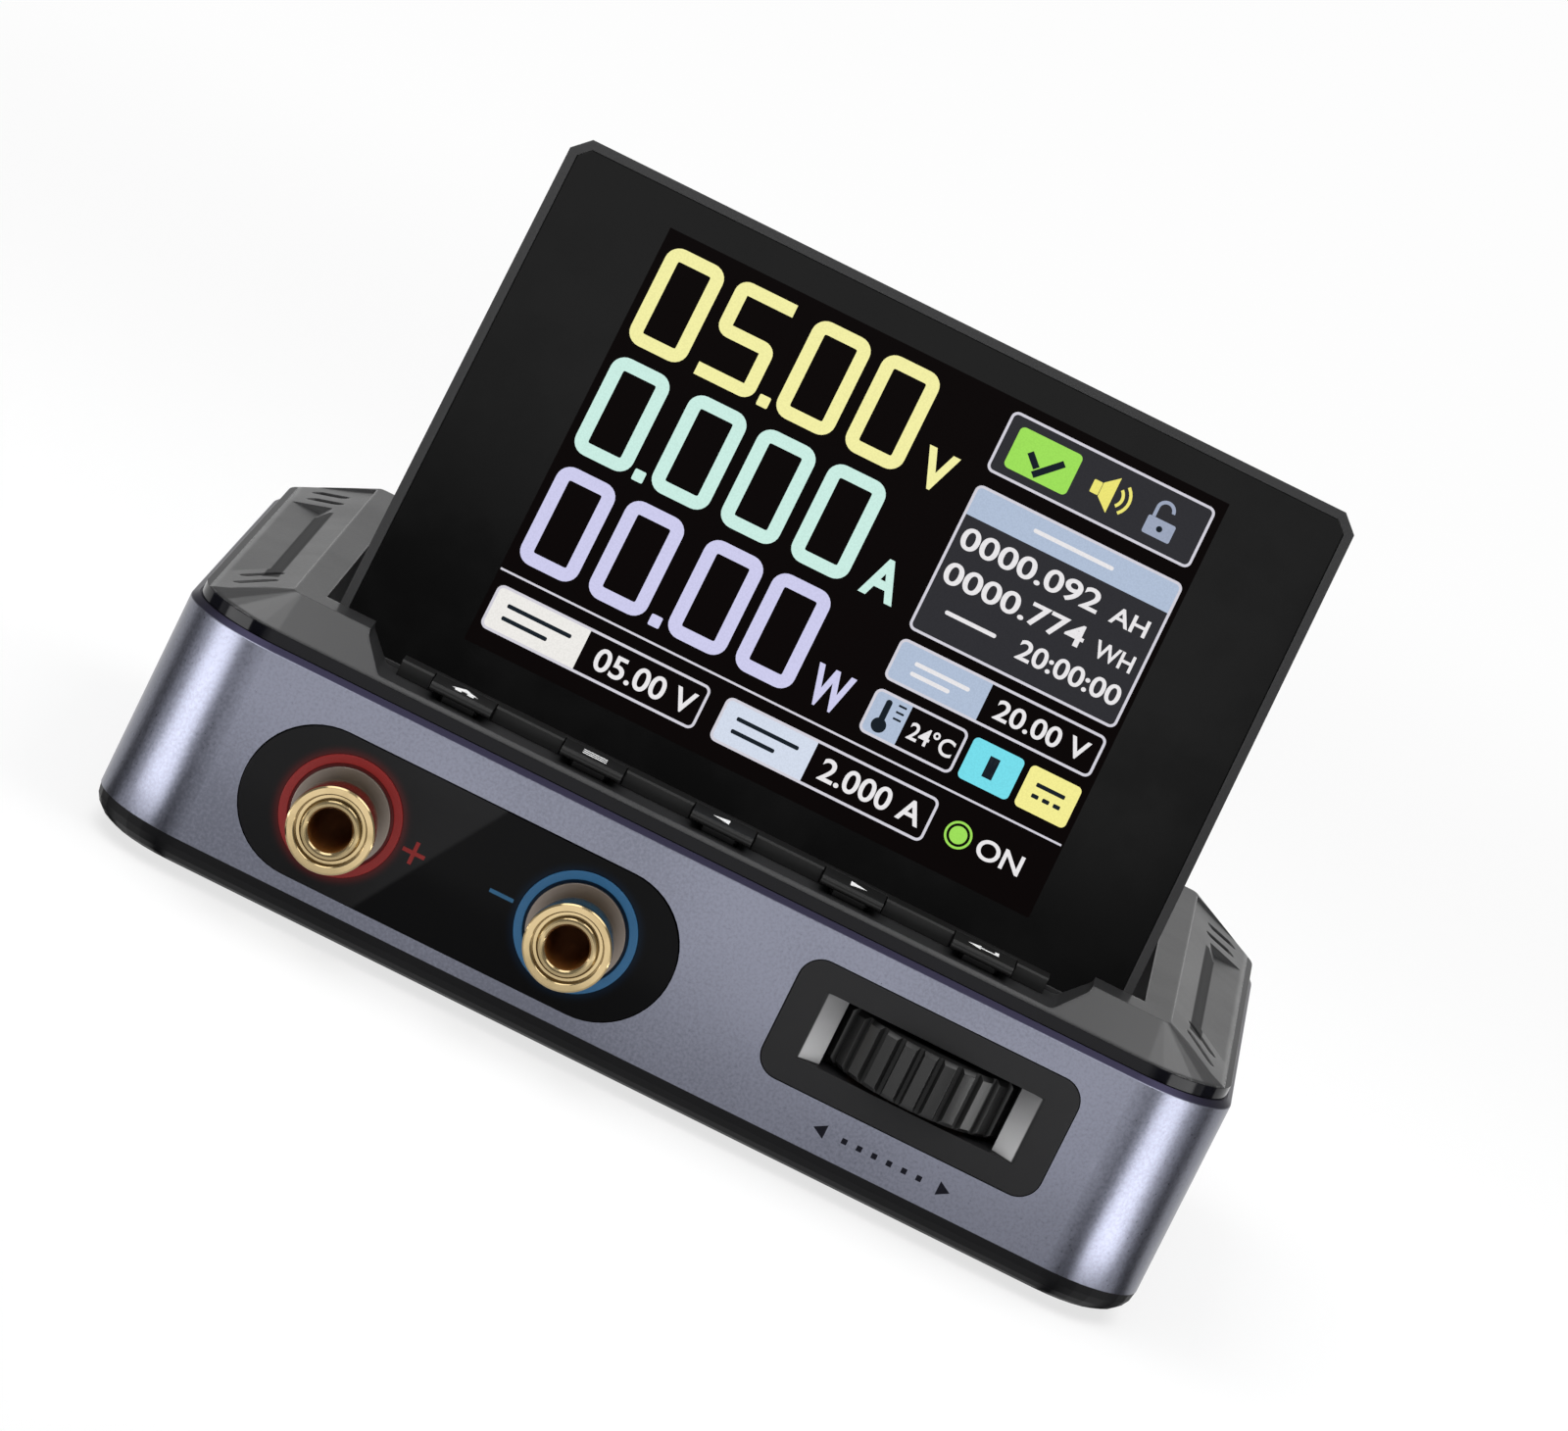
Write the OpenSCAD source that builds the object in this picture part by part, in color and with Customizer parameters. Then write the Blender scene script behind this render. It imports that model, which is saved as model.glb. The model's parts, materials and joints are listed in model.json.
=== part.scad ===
/* [Case] */
// Cover left of the display bay, and right of it
side_rim = 11.3; // [10.5:0.1:20]
// Cover behind the display bay
back_rim = 10.9; // [10.9:0.1:20]
// Plan radius of the upright corners
corner_r = 9; // [8:0.5:9.5]
// Height of the metal frame's lower edge above the table
frame_low = 3.5; // [3.3:0.1:4]
// Height of the metal frame from edge to edge
frame_h = 20; // [20:0.5:30]
// Wall of the metal frame
frame_wall = 2.2; // [1.8:0.1:2.4]
// Bevel round the frame's upper edge
frame_bevel = 0.6; // [0.3:0.1:0.7]
// Height of the floor's underside above the table
foot_gap = 0.8; // [0.5:0.1:1]
// Thickness of the floor
floor_t = 1.6; // [1.3:0.1:1.8]
// How far the rounded lower edge of the floor draws in
base_round = 3; // [2:0.5:4]
// Diameter of a rubber foot
foot_d = 9; // [6:0.5:12]

/* [Cover] */
// Height of the gloss ring between frame and cover
trim_h = 1.2; // [0.8:0.1:2]
// How far the gloss ring stands back from the frame's face
trim_inset = 0.8; // [0.7:0.1:1.2]
// Rise of the cover from the ring to its flat top
cover_rise = 3.3; // [3:0.1:4]
// Run of the cover's slope at front and back
slope_front = 4; // [3:0.1:5]
// Run of the cover's slope at each side
slope_side = 7.7; // [6:0.1:8]
// Room between each end of the key strip and the wall of the key notch
notch_room = 1.3; // [1.2:0.1:2.5]
// How much wider the key notch is at the top, each side
notch_flare = 3; // [1:0.1:4]
// Length of the hand recess in each side slope, at its inner edge
recess_l = 40; // [20:1:42]
// Depth of the hand recess at its inner edge
recess_deep = 0.9; // [0.4:0.05:1]
// Width of a grip groove
groove_w = 1.2; // [0.8:0.1:1.6]
// Width of the finger scoop behind the folded display
scoop_w = 24; // [16:1:40]

/* [Display] */
// Width of the lit screen
screen_w = 57.6; // [50:0.1:60]
// Height of the lit screen
screen_h = 43.2; // [36:0.1:44]
// Black border beside the screen
bezel_side = 11.6; // [10:0.1:12]
// Black border above the screen
bezel_top = 4.2; // [3.5:0.1:5]
// Black border from the hinge line to the screen
bezel_low = 4.8; // [4.5:0.1:6]
// Thickness of the display from glass to back
display_t = 7.2; // [6.6:0.1:7.4]
// Radius of the rounded edge that turns on the hinge
barrel_r = 4; // [3.8:0.1:4.2]
// Distance from the case's front face to the hinge axis
hinge_inset = 12.3; // [12:0.1:14]
// Angle of the opened display above flat
open_angle = 68.5; // [30:0.5:85]
// Radius of the hinge pins
pin_r = 1.25; // [1:0.05:1.5]

/* [Sockets] */
// Distance from the case's left side to the middle of the terminal plate
terminal_in = 33.4; // [32:0.1:34]
// Height of the socket axes above the table
socket_z = 12.2; // [12.2:0.1:12.4]
// Width of the terminal plate
terminal_w = 43; // [40:0.5:46]
// Height of the terminal plate
terminal_h = 14.4; // [12:0.1:14.4]
// Distance between the two socket axes
socket_pitch = 23.8; // [19:0.05:24]
// Radius of the hole for a 4 mm plug
socket_bore_r = 2.02; // [2:0.01:2.1]
// Depth of the hole for a 4 mm plug
socket_depth = 19; // [16:0.5:20]
// How far a socket stands out of its plate
socket_reach = 7.9; // [6.5:0.1:10]
// Radius of the socket's outer barrel
socket_r = 3.95; // [3.6:0.05:4.1]
// Outer radius of the coloured ring
ring_r = 5.7; // [5.4:0.1:6]

/* [Wheel] */
// Distance from the case's right side to the wheel's axis
wheel_in = 26.8; // [26:0.1:28]
// Height of the wheel's middle above the table
wheel_z = 14.2; // [14.2:0.1:14.4]
// Diameter of the thumb wheel
wheel_d = 19.4; // [18:0.1:20]
// Thickness of the thumb wheel
wheel_t = 5.7; // [5:0.1:5.8]
// How far the wheel stands out of the front
wheel_proud = 1.9; // [1:0.1:2.5]
// Number of grip grooves round the wheel
wheel_grooves = 30; // [20:1:36]
// How far the wheel can be pushed in
wheel_press = 0.6; // [0.3:0.1:0.8]

/* [Keys] */
// Distance from one key to the next
key_pitch = 13.2; // [10:0.1:13.4]
// Width of a key
key_w = 6.1; // [5:0.1:8]
// Height of the key row above the notch floor
key_rise = 1.55; // [1.4:0.05:2]
// How far a key can be pressed
key_travel = 0.4; // [0.2:0.05:0.4]

/* [Back] */
// Height of the back panel
back_h = 15; // [14:0.5:15]
// Side of the square fan
fan_s = 20; // [18:0.5:20]
// Depth of the fan
fan_t = 6; // [5:0.5:6]
// Distance from the case's right side to the fan's axis
fan_in = 29; // [27:0.5:31]
// Number of fan blades
fan_blades = 7; // [5:1:9]

/* [Hidden] */
$fn = 48;

// Gaps: moving parts, parts that slip into each other, and shafts that turn in their holes
run_gap = 0.4;
slip_gap = 0.15;
shaft_gap = 0.05;
seat_gap = 0.02;
eps = 0.01;
cut = 40;

// Heights, from the table up
floor_top = foot_gap + floor_t;
trim_z = frame_low + frame_h;
cover_z = trim_z + trim_h;
top_z = cover_z + cover_rise;
hinge_z = top_z - barrel_r;
bay_floor = top_z - display_t - run_gap;
trough_r = barrel_r + run_gap;
tray_wall = 1.2;
friction_r = 2.8;
tray_z = min(bay_floor, hinge_z - trough_r) - tray_wall;
deck_t = 1.5;
deck_z = cover_z + 0.4;
panel_step = 0.25;

// Places in plan: the display sets the bay, the bay and its rims set the case.
// The case is centred on its own middle and then moved so that the sockets count
display_w = screen_w + 2 * bezel_side;
display_l = bezel_low + screen_h + bezel_top;
bay_gap = 1.3;
bay_end_gap = 0.6;
bay_w = display_w + 2 * bay_gap;
case_w = bay_w + 2 * side_rim;
case_d = hinge_inset + display_l + bay_end_gap + back_rim;
front_y = -case_d / 2;
back_y = case_d / 2;
plate_proud = 0.15;
mid_y = (plate_proud + socket_reach) / 2;
hinge_y = front_y + hinge_inset;
bay_back = hinge_y + display_l + bay_end_gap;
inside = frame_wall + slip_gap;
terminal_x = terminal_in - case_w / 2;
wheel_x = case_w / 2 - wheel_in;
recess_in = case_w / 2 - trim_inset - slope_side + 3.5;
end_slant = 0.8;
groove_l = 4.6;
groove_deep = 0.5;
groove_pitch = 4.2;

// Fixing of the case: four long screws near the corners
post_x = case_w / 2 - 6.8;
post_y = case_d / 2 - 8;
post_split = 8;
post_r = 2.4;
head_r = 2.2;
head_h = 1.5;
head_z = foot_gap + 0.6;
screw_r = 1;
screw_l = 12;
foot_seat = 0.5;
vent_w = 1.5;
vent_l = 20;
vent_pitch = 3.6;

// Lip of the floor inside the frame and skirt of the cover inside the frame
lip_h = 1.4;
lip_wall = 1.4;
skirt_h = 4.2;
skirt_wall = 1.2;

// Plates in the front and the back of the frame
flange_t = 1;
flange_w = 1.5;
plate_gap = 0.1;
wheel_plate_r = 2.2;
back_plate_r = 2.4;

// Main board on its posts
board_z = floor_top + 2.6;
board_t = 1.6;
board_top = board_z + board_t;
board_w = 2 * (post_x - post_r - 0.6);
board_front = front_y + frame_wall + flange_t + 1;
board_back = back_y - frame_wall - flange_t - 0.5;
board_post_x = board_w / 2 - 3;
board_post_y = 18;
board_post_r = 2.6;

// What stands on the main board: heat sink over the transistors, inductor, capacitors, shunt, buzzer
chip_w = 6;
chip_l = 5.2;
chip_h = 2;
chip_pitch_x = 16;
chip_pitch_y = 9;
flat_chip_t = 1.2;
sink_x = case_w / 2 - 28;
sink_y = 4;
sink_w = 30;
sink_l = 34;
sink_base = 1.6;
fin_t = 1.1;
inductor_x = -8;
inductor_y = -7;
inductor_w = 13;
inductor_h = 8;
can_x = -34;
can_y = 3.5;
can_pitch = 9.2;
can_r = 4;
can_h = 10;
shunt_x = -20;
shunt_y = -14;
shunt_l = 11.2;
shunt_w = 3;
shunt_t = 1;
shunt_h = 4;
buzzer_x = -38;
buzzer_y = -10;
buzzer_r = 4.5;
buzzer_h = 4.2;

// Back of the case: the panel's flange is as wide as the board
back_z = 12.8;
back_w = board_w - 2 * flange_w + 0.6;
fan_x = case_w / 2 - fan_in;
back_in = back_y - frame_wall - flange_t;
fan_y = back_in - fan_t;
fan_bore_r = fan_s / 2 - 0.7;
fan_hole = fan_s / 2 - 2;
fan_hub_r = 4.3;
fan_hub_t = 1;
fan_shaft_r = 0.9;
fan_screw_r = 0.75;
fan_blade_t = 0.8;
socket_back = back_y - 0.4;
shell_wall = 0.3;
dc_x = 41 - case_w / 2;
dc_z = board_top + 5.5;
dc_r = 4.4;
dc_bore_r = 3.1;
dc_pin_r = 1.25;
dc_body_w = 9;
dc_body_h = 11;
dc_body_l = 13;
dc_depth = 9.5;
usb_x = 27 - case_w / 2;
usb_w = 8.94;
usb_h = 3.26;
usb_z = board_top + usb_h / 2;
micro_x = 16 - case_w / 2;
micro_w = 7.5;
micro_h = 2.6;

// Keys
key_top = deck_z + key_rise;
key_t = 0.9;
strip_w = 5 * key_pitch - 0.4;
notch_w = strip_w + 2 * notch_room;
strip_back = hinge_y - trough_r;
strip_front = strip_back - 2.5;
key_front = strip_front - 3.1;
key_back = strip_back - 1.1;
stem_y = strip_front - 0.8;
stem_w = 3.2;
stem_d = 2;
barb = 0.35;
stem_low = deck_z - deck_t - 0.7;
switch_top = stem_low - key_travel - 0.3;
small_board_t = 0.8;
small_board_z = switch_top - 1 - small_board_t;
small_board_y = stem_y;
small_board_d = 3.9;
small_post_x = notch_w / 2 + 0.1;
switch_w = 3.6;
switch_d = 3;
switch_h = 0.8;

// Sockets
plate_face = front_y - plate_proud;
neck_r = 3;
washer_r = 4.6;
washer_t = 0.5;
ring_in = washer_r + 0.3;
collar_t = 1;
collar_out = 0.15;
collar_groove = 0.5;
socket_lip_r = 0.42;
nut_t = 2;
nut_r = 4.6;

// Wheel
wheel_y = front_y - wheel_proud + wheel_d / 2;
wheel_plate_w = 28.1;
wheel_plate_h = 11.9;
wheel_slot_w = 22.1;
wheel_slot_h = wheel_t + 1;
tub_l = 1.5;
ramp_run = 2.3;
ramp_deep = 1.3;
grip_w = 0.9;
grip_deep = 0.5;
boss_r = 3;
encoder_r = 7;
axle_r = 1.5;
guide_t = 1;
slide_gap = 0.3;
carriage_z = board_top + guide_t + slide_gap;
carriage_t = 1.6;
carriage_w = wheel_d;
carriage_front = front_y + frame_wall + flange_t + 0.6;
carriage_back = wheel_y + wheel_d / 2 - 1.5;
wheel_low = wheel_z - wheel_t / 2;
boss_top = wheel_low - slide_gap;
rail_w = 1.6;
rail_t = 0.8;
guide_foot = 5;
press_switch = 3.2;
press_switch_w = 6;

// Display, flat: the hinge axis is the origin, the glass lies on top
glass_t = 0.8;
rim = 0.9;
lcd_t = 2.2;
glass_low = barrel_r - glass_t;
back_face = barrel_r - display_t;
cavity_x = screen_w / 2 + 5.7;
cavity_low = bezel_low - 1.8;
cavity_high = display_l - 1.6;
back_cover_t = 1.3;

// Outlines and solids that repeat

module rounded(w, d, r) {
    square([w - 2 * r, d], center = true);
    square([w, d - 2 * r], center = true);
    for (x = [-1, 1], y = [-1, 1]) {
        translate([x * (w / 2 - r), y * (d / 2 - r)]) circle(r);
    }
}

// The case's plan, drawn in by inset, from height z0 to z1
module case_slab(inset, z0, z1) {
    translate([0, 0, z0]) linear_extrude(z1 - z0) {
        rounded(case_w - 2 * inset, case_d - 2 * inset, max(corner_r - inset, 1));
    }
}

// A slab whose four sides and corners all draw in by rise, on its way up by rise
module bevel_slab(w, d, r, z, rise) {
    rotate([90, 0, 90]) linear_extrude(w - 2 * r, center = true) {
        polygon([[-d / 2, z], [d / 2, z], [d / 2 - rise, z + rise], [rise - d / 2, z + rise]]);
    }
    rotate([90, 0, 0]) linear_extrude(d - 2 * r, center = true) {
        polygon([[-w / 2, z], [w / 2, z], [w / 2 - rise, z + rise], [rise - w / 2, z + rise]]);
    }
    for (x = [-1, 1], y = [-1, 1]) {
        translate([x * (w / 2 - r), y * (d / 2 - r), z]) cylinder(h = rise, r1 = r, r2 = r - rise);
    }
}

module placed() {
    translate([0, mid_y, 0]) children();
}

// A flat shape stood up in the XZ plane and given depth t from y towards the back
module upright(x, y, z, t) {
    translate([x, y + t, z]) rotate([90, 0, 0]) linear_extrude(t) children();
}

// A cylinder along Y from y towards the back
module along_y(x, y, z, r, l) {
    translate([x, y, z]) rotate([-90, 0, 0]) cylinder(h = l, r = r);
}

// A cylinder along X from x to the right
module along_x(x, y, z, r, l) {
    translate([x, y, z]) rotate([0, 90, 0]) cylinder(h = l, r = r);
}

module at_corners(x, y) {
    for (sx = [-1, 1], sy = [-1, 1]) {
        translate([sx * x, sy * y, 0]) children();
    }
}

module ring(r_out, r_in, h) {
    difference() {
        cylinder(h = h, r = r_out);
        translate([0, 0, -eps]) cylinder(h = h + 2 * eps, r = r_in);
    }
}

// A screw that stands on its head, shank up from z = 0
module screw(hr, hh, r, l) {
    difference() {
        translate([0, 0, -hh]) cylinder(h = hh, r = hr);
        translate([0, 0, -hh - eps]) cylinder(h = hh * 0.6, r = hr * 0.5, $fn = 6);
    }
    cylinder(h = l, r = r);
}

// Frame and floor

module aluminium_frame() {
    color("lightslategray") placed() difference() {
        union() {
            case_slab(0, frame_low, trim_z - frame_bevel);
            bevel_slab(case_w, case_d, corner_r, trim_z - frame_bevel, frame_bevel);
        }
        case_slab(frame_wall, frame_low - 1, trim_z + 1);
        upright(terminal_x, front_y - 1, socket_z, frame_wall + 2) {
            rounded(terminal_w + 2 * plate_gap, terminal_h + 2 * plate_gap, terminal_h / 2);
        }
        upright(wheel_x, front_y - 1, wheel_z, frame_wall + 2) {
            rounded(wheel_plate_w + 2 * plate_gap, wheel_plate_h + 2 * plate_gap, wheel_plate_r + plate_gap);
        }
        upright(0, back_y - frame_wall - 1, back_z, frame_wall + 2) {
            rounded(back_w + 2 * plate_gap, back_h + 2 * plate_gap, back_plate_r + plate_gap);
        }
    }
}

module floor_blank() {
    steps = 5;
    hull() for (i = [0 : steps]) {
        turn = 90 * i / steps;
        drop = (frame_low - foot_gap - eps) * sin(turn);
        case_slab(base_round * (1 - cos(turn)), frame_low - eps - drop, frame_low - drop, $fn = 32);
    }
}

module floor_vents() {
    for (i = [-4 : 4]) {
        translate([i * vent_pitch, 0, 0]) linear_extrude(floor_top + 1) {
            rounded(vent_w, vent_l, vent_w / 2 - eps);
        }
    }
}

module bottom_cover() {
    color("dimgray") placed() difference() {
        union() {
            difference() {
                union() {
                    floor_blank();
                    case_slab(inside, frame_low - eps, frame_low + lip_h);
                }
                case_slab(inside + lip_wall, floor_top, cut);
                translate([fan_x - fan_s / 2 - slip_gap, fan_y - slip_gap, floor_top]) {
                    cube([fan_s + 2 * slip_gap, fan_t + flange_t + 2 * slip_gap, cut]);
                }
            }
            intersection() {
                case_slab(inside, floor_top - eps, cut);
                at_corners(post_x, post_y) union() {
                    translate([0, 0, floor_top - eps]) cylinder(h = 2, r = post_r + 1.2);
                    translate([0, 0, floor_top - eps]) cylinder(h = post_split - floor_top, r = post_r);
                }
            }
            at_corners(board_post_x, board_post_y) translate([0, 0, floor_top - eps]) {
                cylinder(h = board_z - floor_top + eps, r = board_post_r);
            }
            for (side = [-1, 1]) {
                translate([fan_x + side * fan_s / 3 - 1, fan_y, floor_top - eps]) {
                    cube([2, fan_t, back_z - fan_s / 2 - floor_top]);
                }
            }
        }
        at_corners(post_x, post_y) {
            cylinder(h = head_z + head_h, r = head_r + slip_gap);
            cylinder(h = cut, r = screw_r + 0.3);
        }
        at_corners(board_post_x, board_post_y) translate([0, 0, floor_top]) {
            cylinder(h = cut, r = screw_r + shaft_gap);
        }
        at_corners(foot_x(), foot_y()) cylinder(h = foot_gap + foot_seat, r = foot_d / 2 + slip_gap);
        floor_vents();
    }
}

function foot_x() = case_w / 2 - base_round - foot_d / 2 - 8;
function foot_y() = case_d / 2 - base_round - foot_d / 2 - 4.5;

module rubber_feet() {
    round_in = 0.4;
    r = foot_d / 2;
    h = foot_gap + foot_seat;
    color("black") placed() at_corners(foot_x(), foot_y()) rotate_extrude() {
        polygon([[0, 0], [r - round_in * 2, 0], [r - round_in, 0.1], [r, round_in], [r, h], [0, h]]);
    }
}

module case_screws() {
    color("silver") placed() at_corners(post_x, post_y) translate([0, 0, head_z + head_h]) {
        screw(head_r, head_h, screw_r, screw_l);
    }
}

module trim_ring() {
    color("midnightblue") placed() difference() {
        case_slab(trim_inset, trim_z, cover_z);
        case_slab(frame_wall, trim_z - 1, cover_z + 1);
    }
}

// Top cover: sloped brim, key notch, display bay with its hinge trough, and screw posts

module brim() {
    hull() {
        case_slab(trim_inset, cover_z, cover_z + eps, $fn = 32);
        translate([0, 0, top_z - eps]) linear_extrude(eps) {
            rounded(ridge_w(), ridge_d(), 0.8, $fn = 32);
        }
    }
}

function ridge_w() = case_w - 2 * (trim_inset + slope_side);
function ridge_d() = case_d - 2 * (trim_inset + slope_front);

// The bay's front wall leans as the opened display does
module bay() {
    translate([-bay_w / 2, hinge_y, bay_floor]) cube([bay_w, bay_back - hinge_y, cut]);
    along_x(-bay_w / 2, hinge_y, hinge_z, trough_r, bay_w);
    translate([-bay_w / 2, hinge_y, hinge_z]) rotate([open_angle, 0, 0]) cube([bay_w, cut, trough_r]);
}

module key_notch() {
    rise = top_z - deck_z;
    low = notch_w / 2;
    flare = notch_flare * (rise + 1) / rise;
    upright(0, front_y - 1, deck_z, hinge_inset + 1) offset(r = 1, $fn = 24) offset(delta = -1) {
        polygon([[-low, 0], [low, 0], [low + flare, rise + 1], [-low - flare, rise + 1]]);
    }
}

// The side slope lies a little lower than the brim that wraps round the corners
module side_panel() {
    front_end = ridge_d() / 2 - 1.7;
    run = slope_side / cos(slope_turn());
    translate([ridge_w() / 2, 0, top_z - panel_step]) rotate([0, slope_turn(), 0]) {
        linear_extrude(cover_rise) polygon([
            [0, -front_end], [run + 2, -front_end - 1.7], [run + 2, front_end + 1.7], [0, front_end]]);
    }
}

// Hand recess: a shallow pan with a leaning inner wall and slanted ends, open to the outside
module hand_recess() {
    outer = case_w / 2 - trim_inset;
    floor_z = slope_z(recess_in) - recess_deep;
    tilt = atan((floor_z - cover_z) / (outer - recess_in));
    half = recess_l / 2;
    far = outer - recess_in + 1.5;
    h = 2;
    lean = 1.35 * h;
    end_lean = 0.35 * h;
    translate([recess_in, 0, floor_z]) rotate([0, tilt, 0]) hull() {
        linear_extrude(eps) polygon([
            [0, -half], [far, -half - end_slant * far], [far, half + end_slant * far], [0, half]]);
        translate([0, 0, h]) linear_extrude(eps) polygon([
            [-lean, end_slant * lean - half - end_lean], [far, -half - end_slant * far - end_lean],
            [far, half + end_slant * far + end_lean], [-lean, half + end_lean - end_slant * lean]]);
    }
}

// Two grooves beyond each end of a hand recess, slanted as its ends are
module grip_grooves() {
    mid_x = recess_in + 0.2;
    for (end = [-1, 1], i = [1, 2]) {
        translate([mid_x, end * (recess_l / 2 + groove_pitch * (i - 0.15)), slope_z(mid_x) - panel_step]) {
            rotate([0, slope_turn(), 0]) rotate(end * atan(end_slant)) {
                translate([0, 0, -groove_deep]) linear_extrude(2) {
                    rounded(groove_l, groove_w, groove_w / 2 - eps);
                }
            }
        }
    }
}

function slope_turn() = atan(cover_rise / slope_side);
function slope_z(x) = cover_z + (case_w / 2 - trim_inset - x) * cover_rise / slope_side;

module finger_scoop() {
    r = 4.5;
    along_x(-scoop_w / 2, bay_back + 2.1, top_z + r - 2.2, r, scoop_w);
}

module top_cover() {
    tray_front = strip_back - tray_wall + 0.3;
    color("dimgray") placed() difference() {
        union() {
            brim();
            difference() {
                case_slab(inside, cover_z - skirt_h, cover_z + eps);
                case_slab(inside + skirt_wall, cover_z - skirt_h - 1, cover_z);
                translate([-notch_w / 2 - 4, front_y, 0]) cube([notch_w + 8, 6, cut]);
                translate([fan_x - fan_s / 2 - slip_gap, fan_y, 0]) cube([fan_s + 2 * slip_gap, cut, cut]);
            }
            translate([-bay_w / 2 - tray_wall, tray_front, tray_z]) {
                cube([bay_w + 2 * tray_wall, bay_back + tray_wall - tray_front, cover_z + eps - tray_z]);
            }
            translate([-notch_w / 2 - 2, front_y + inside, deck_z - deck_t]) {
                cube([notch_w + 4, strip_back - front_y - inside, deck_t]);
            }
            for (side = [-1, 1]) {
                translate([side * small_post_x, small_board_y, small_board_z + small_board_t]) {
                    cylinder(h = deck_z - deck_t - small_board_z - small_board_t + eps, r = 1.6);
                }
                along_x(side * (bay_w / 2 + 2.4) - 2.4, hinge_y, hinge_z, 3, 4.8);
            }
            intersection() {
                at_corners(post_x, post_y) translate([0, 0, post_split]) {
                    cylinder(h = cover_z + eps - post_split, r = post_r);
                }
                case_slab(inside, 0, cut);
            }
        }
        bay();
        key_notch();
        for (side = [0, 1]) mirror([side, 0, 0]) {
            side_panel();
            hand_recess();
            grip_grooves();
        }
        finger_scoop();
        for (i = [-2 : 2]) {
            translate([i * key_pitch, stem_y, deck_z]) cube([stem_w + 0.8, stem_d + 0.8, 4], center = true);
        }
        for (side = [-1, 1]) {
            translate([side * small_post_x, small_board_y, 0]) cylinder(h = deck_z - 0.7, r = 0.75);
            along_x(side * (bay_w / 2 + 2) - 2.2, hinge_y, hinge_z, pin_r + seat_gap, 4.4);
        }
        at_corners(post_x, post_y) cylinder(h = head_z + head_h + screw_l + 1, r = screw_r + shaft_gap);
    }
}

module hinge_pins() {
    inner = display_w / 2 - 4.6;
    outer = bay_w / 2 + 3.8;
    color("silver") placed() for (side = [-1, 1]) {
        along_x(side * (inner + outer) / 2 - (outer - inner) / 2, hinge_y, hinge_z, pin_r, outer - inner);
    }
}

module friction_washers() {
    t = bay_gap - slide_gap;
    color("gainsboro") placed() for (side = [-1, 1]) {
        translate([side * (bay_w / 2 - t / 2) - t / 2, hinge_y, hinge_z]) rotate([0, 90, 0]) {
            ring(friction_r, pin_r + seat_gap, t);
        }
    }
}

// Keys

module button_strip() {
    edge = 0.2;
    color("darkslategray") placed() difference() {
        translate([-strip_w / 2, 0, 0]) rotate([90, 0, 90]) linear_extrude(strip_w) polygon([
            [strip_front, deck_z], [strip_back, deck_z], [strip_back, key_top],
            [strip_front + edge, key_top], [strip_front, key_top - edge]]);
        for (i = [-2 : 2]) {
            translate([i * key_pitch - key_w / 2 - slip_gap, strip_front - 1, deck_z - 1]) {
                cube([key_w + 2 * slip_gap, key_back + slip_gap - strip_front + 1, cut]);
            }
        }
    }
}

// One key: a pad with a rounded lip, and a stem with two snap barbs under the deck
module key(i) {
    lip = key_t / 2;
    color("darkslategray") placed() translate([i * key_pitch, 0, 0]) {
        translate([-key_w / 2, 0, 0]) rotate([90, 0, 90]) linear_extrude(key_w) {
            translate([key_front + lip, key_top - key_t]) square([key_back - key_front - lip, key_t]);
            translate([key_front + lip, key_top - lip]) circle(lip, $fn = 24);
        }
        translate([-stem_w / 2, stem_y - stem_d / 2, stem_low]) {
            cube([stem_w, stem_d, key_top - key_t / 2 - stem_low]);
        }
        translate([0, stem_y + stem_d / 2, stem_low]) rotate([90, 0, 0]) linear_extrude(stem_d) polygon([
            [-stem_w / 2, 0], [stem_w / 2, 0], [stem_w / 2 + 2 * barb, 0.4],
            [-stem_w / 2 - 2 * barb, 0.4]]);
    }
}

module home_key() key(-2);
module menu_key() key(-1);
module left_key() key(0);
module right_key() key(1);
module confirm_key() key(2);

module button_board() {
    color("darkgreen") placed() difference() {
        translate([-small_post_x - 2, small_board_y - small_board_d / 2, small_board_z]) {
            cube([2 * small_post_x + 4, small_board_d, small_board_t]);
        }
        for (side = [-1, 1]) {
            translate([side * small_post_x, small_board_y, small_board_z - 1]) cylinder(h = 3, r = 0.8);
        }
    }
}

module button_switches() {
    color("gray") placed() for (i = [-2 : 2]) {
        translate([i * key_pitch, stem_y, small_board_z + small_board_t]) {
            translate([-switch_w / 2, -switch_d / 2, 0]) cube([switch_w, switch_d, switch_h]);
            cylinder(h = switch_top - small_board_z - small_board_t, r = switch_d / 4);
        }
    }
}

// Output sockets

module terminal_plate() {
    color("black") placed() difference() {
        union() {
            upright(terminal_x, plate_face, socket_z, frame_wall + plate_proud) {
                rounded(terminal_w, terminal_h, terminal_h / 2 - eps);
            }
            upright(terminal_x, front_y + frame_wall, socket_z, flange_t) {
                rounded(terminal_w + 2 * flange_w, terminal_h, terminal_h / 2 - eps);
            }
        }
        for (side = [-1, 1]) {
            along_y(socket_x(side), plate_face - 1, socket_z, neck_r + seat_gap, frame_wall + flange_t + 2);
            difference() {
                along_y(socket_x(side), plate_face - 1, socket_z, ring_r + seat_gap, 1.6);
                along_y(socket_x(side), plate_face - 2, socket_z, ring_in - seat_gap, 4);
            }
        }
    }
}

function socket_x(side) = terminal_x + side * socket_pitch / 2;

module colour_ring(side) {
    placed() translate([socket_x(side), plate_face - 0.1, socket_z]) rotate([-90, 0, 0]) {
        ring(ring_r, ring_in, 0.7);
    }
}

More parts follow.
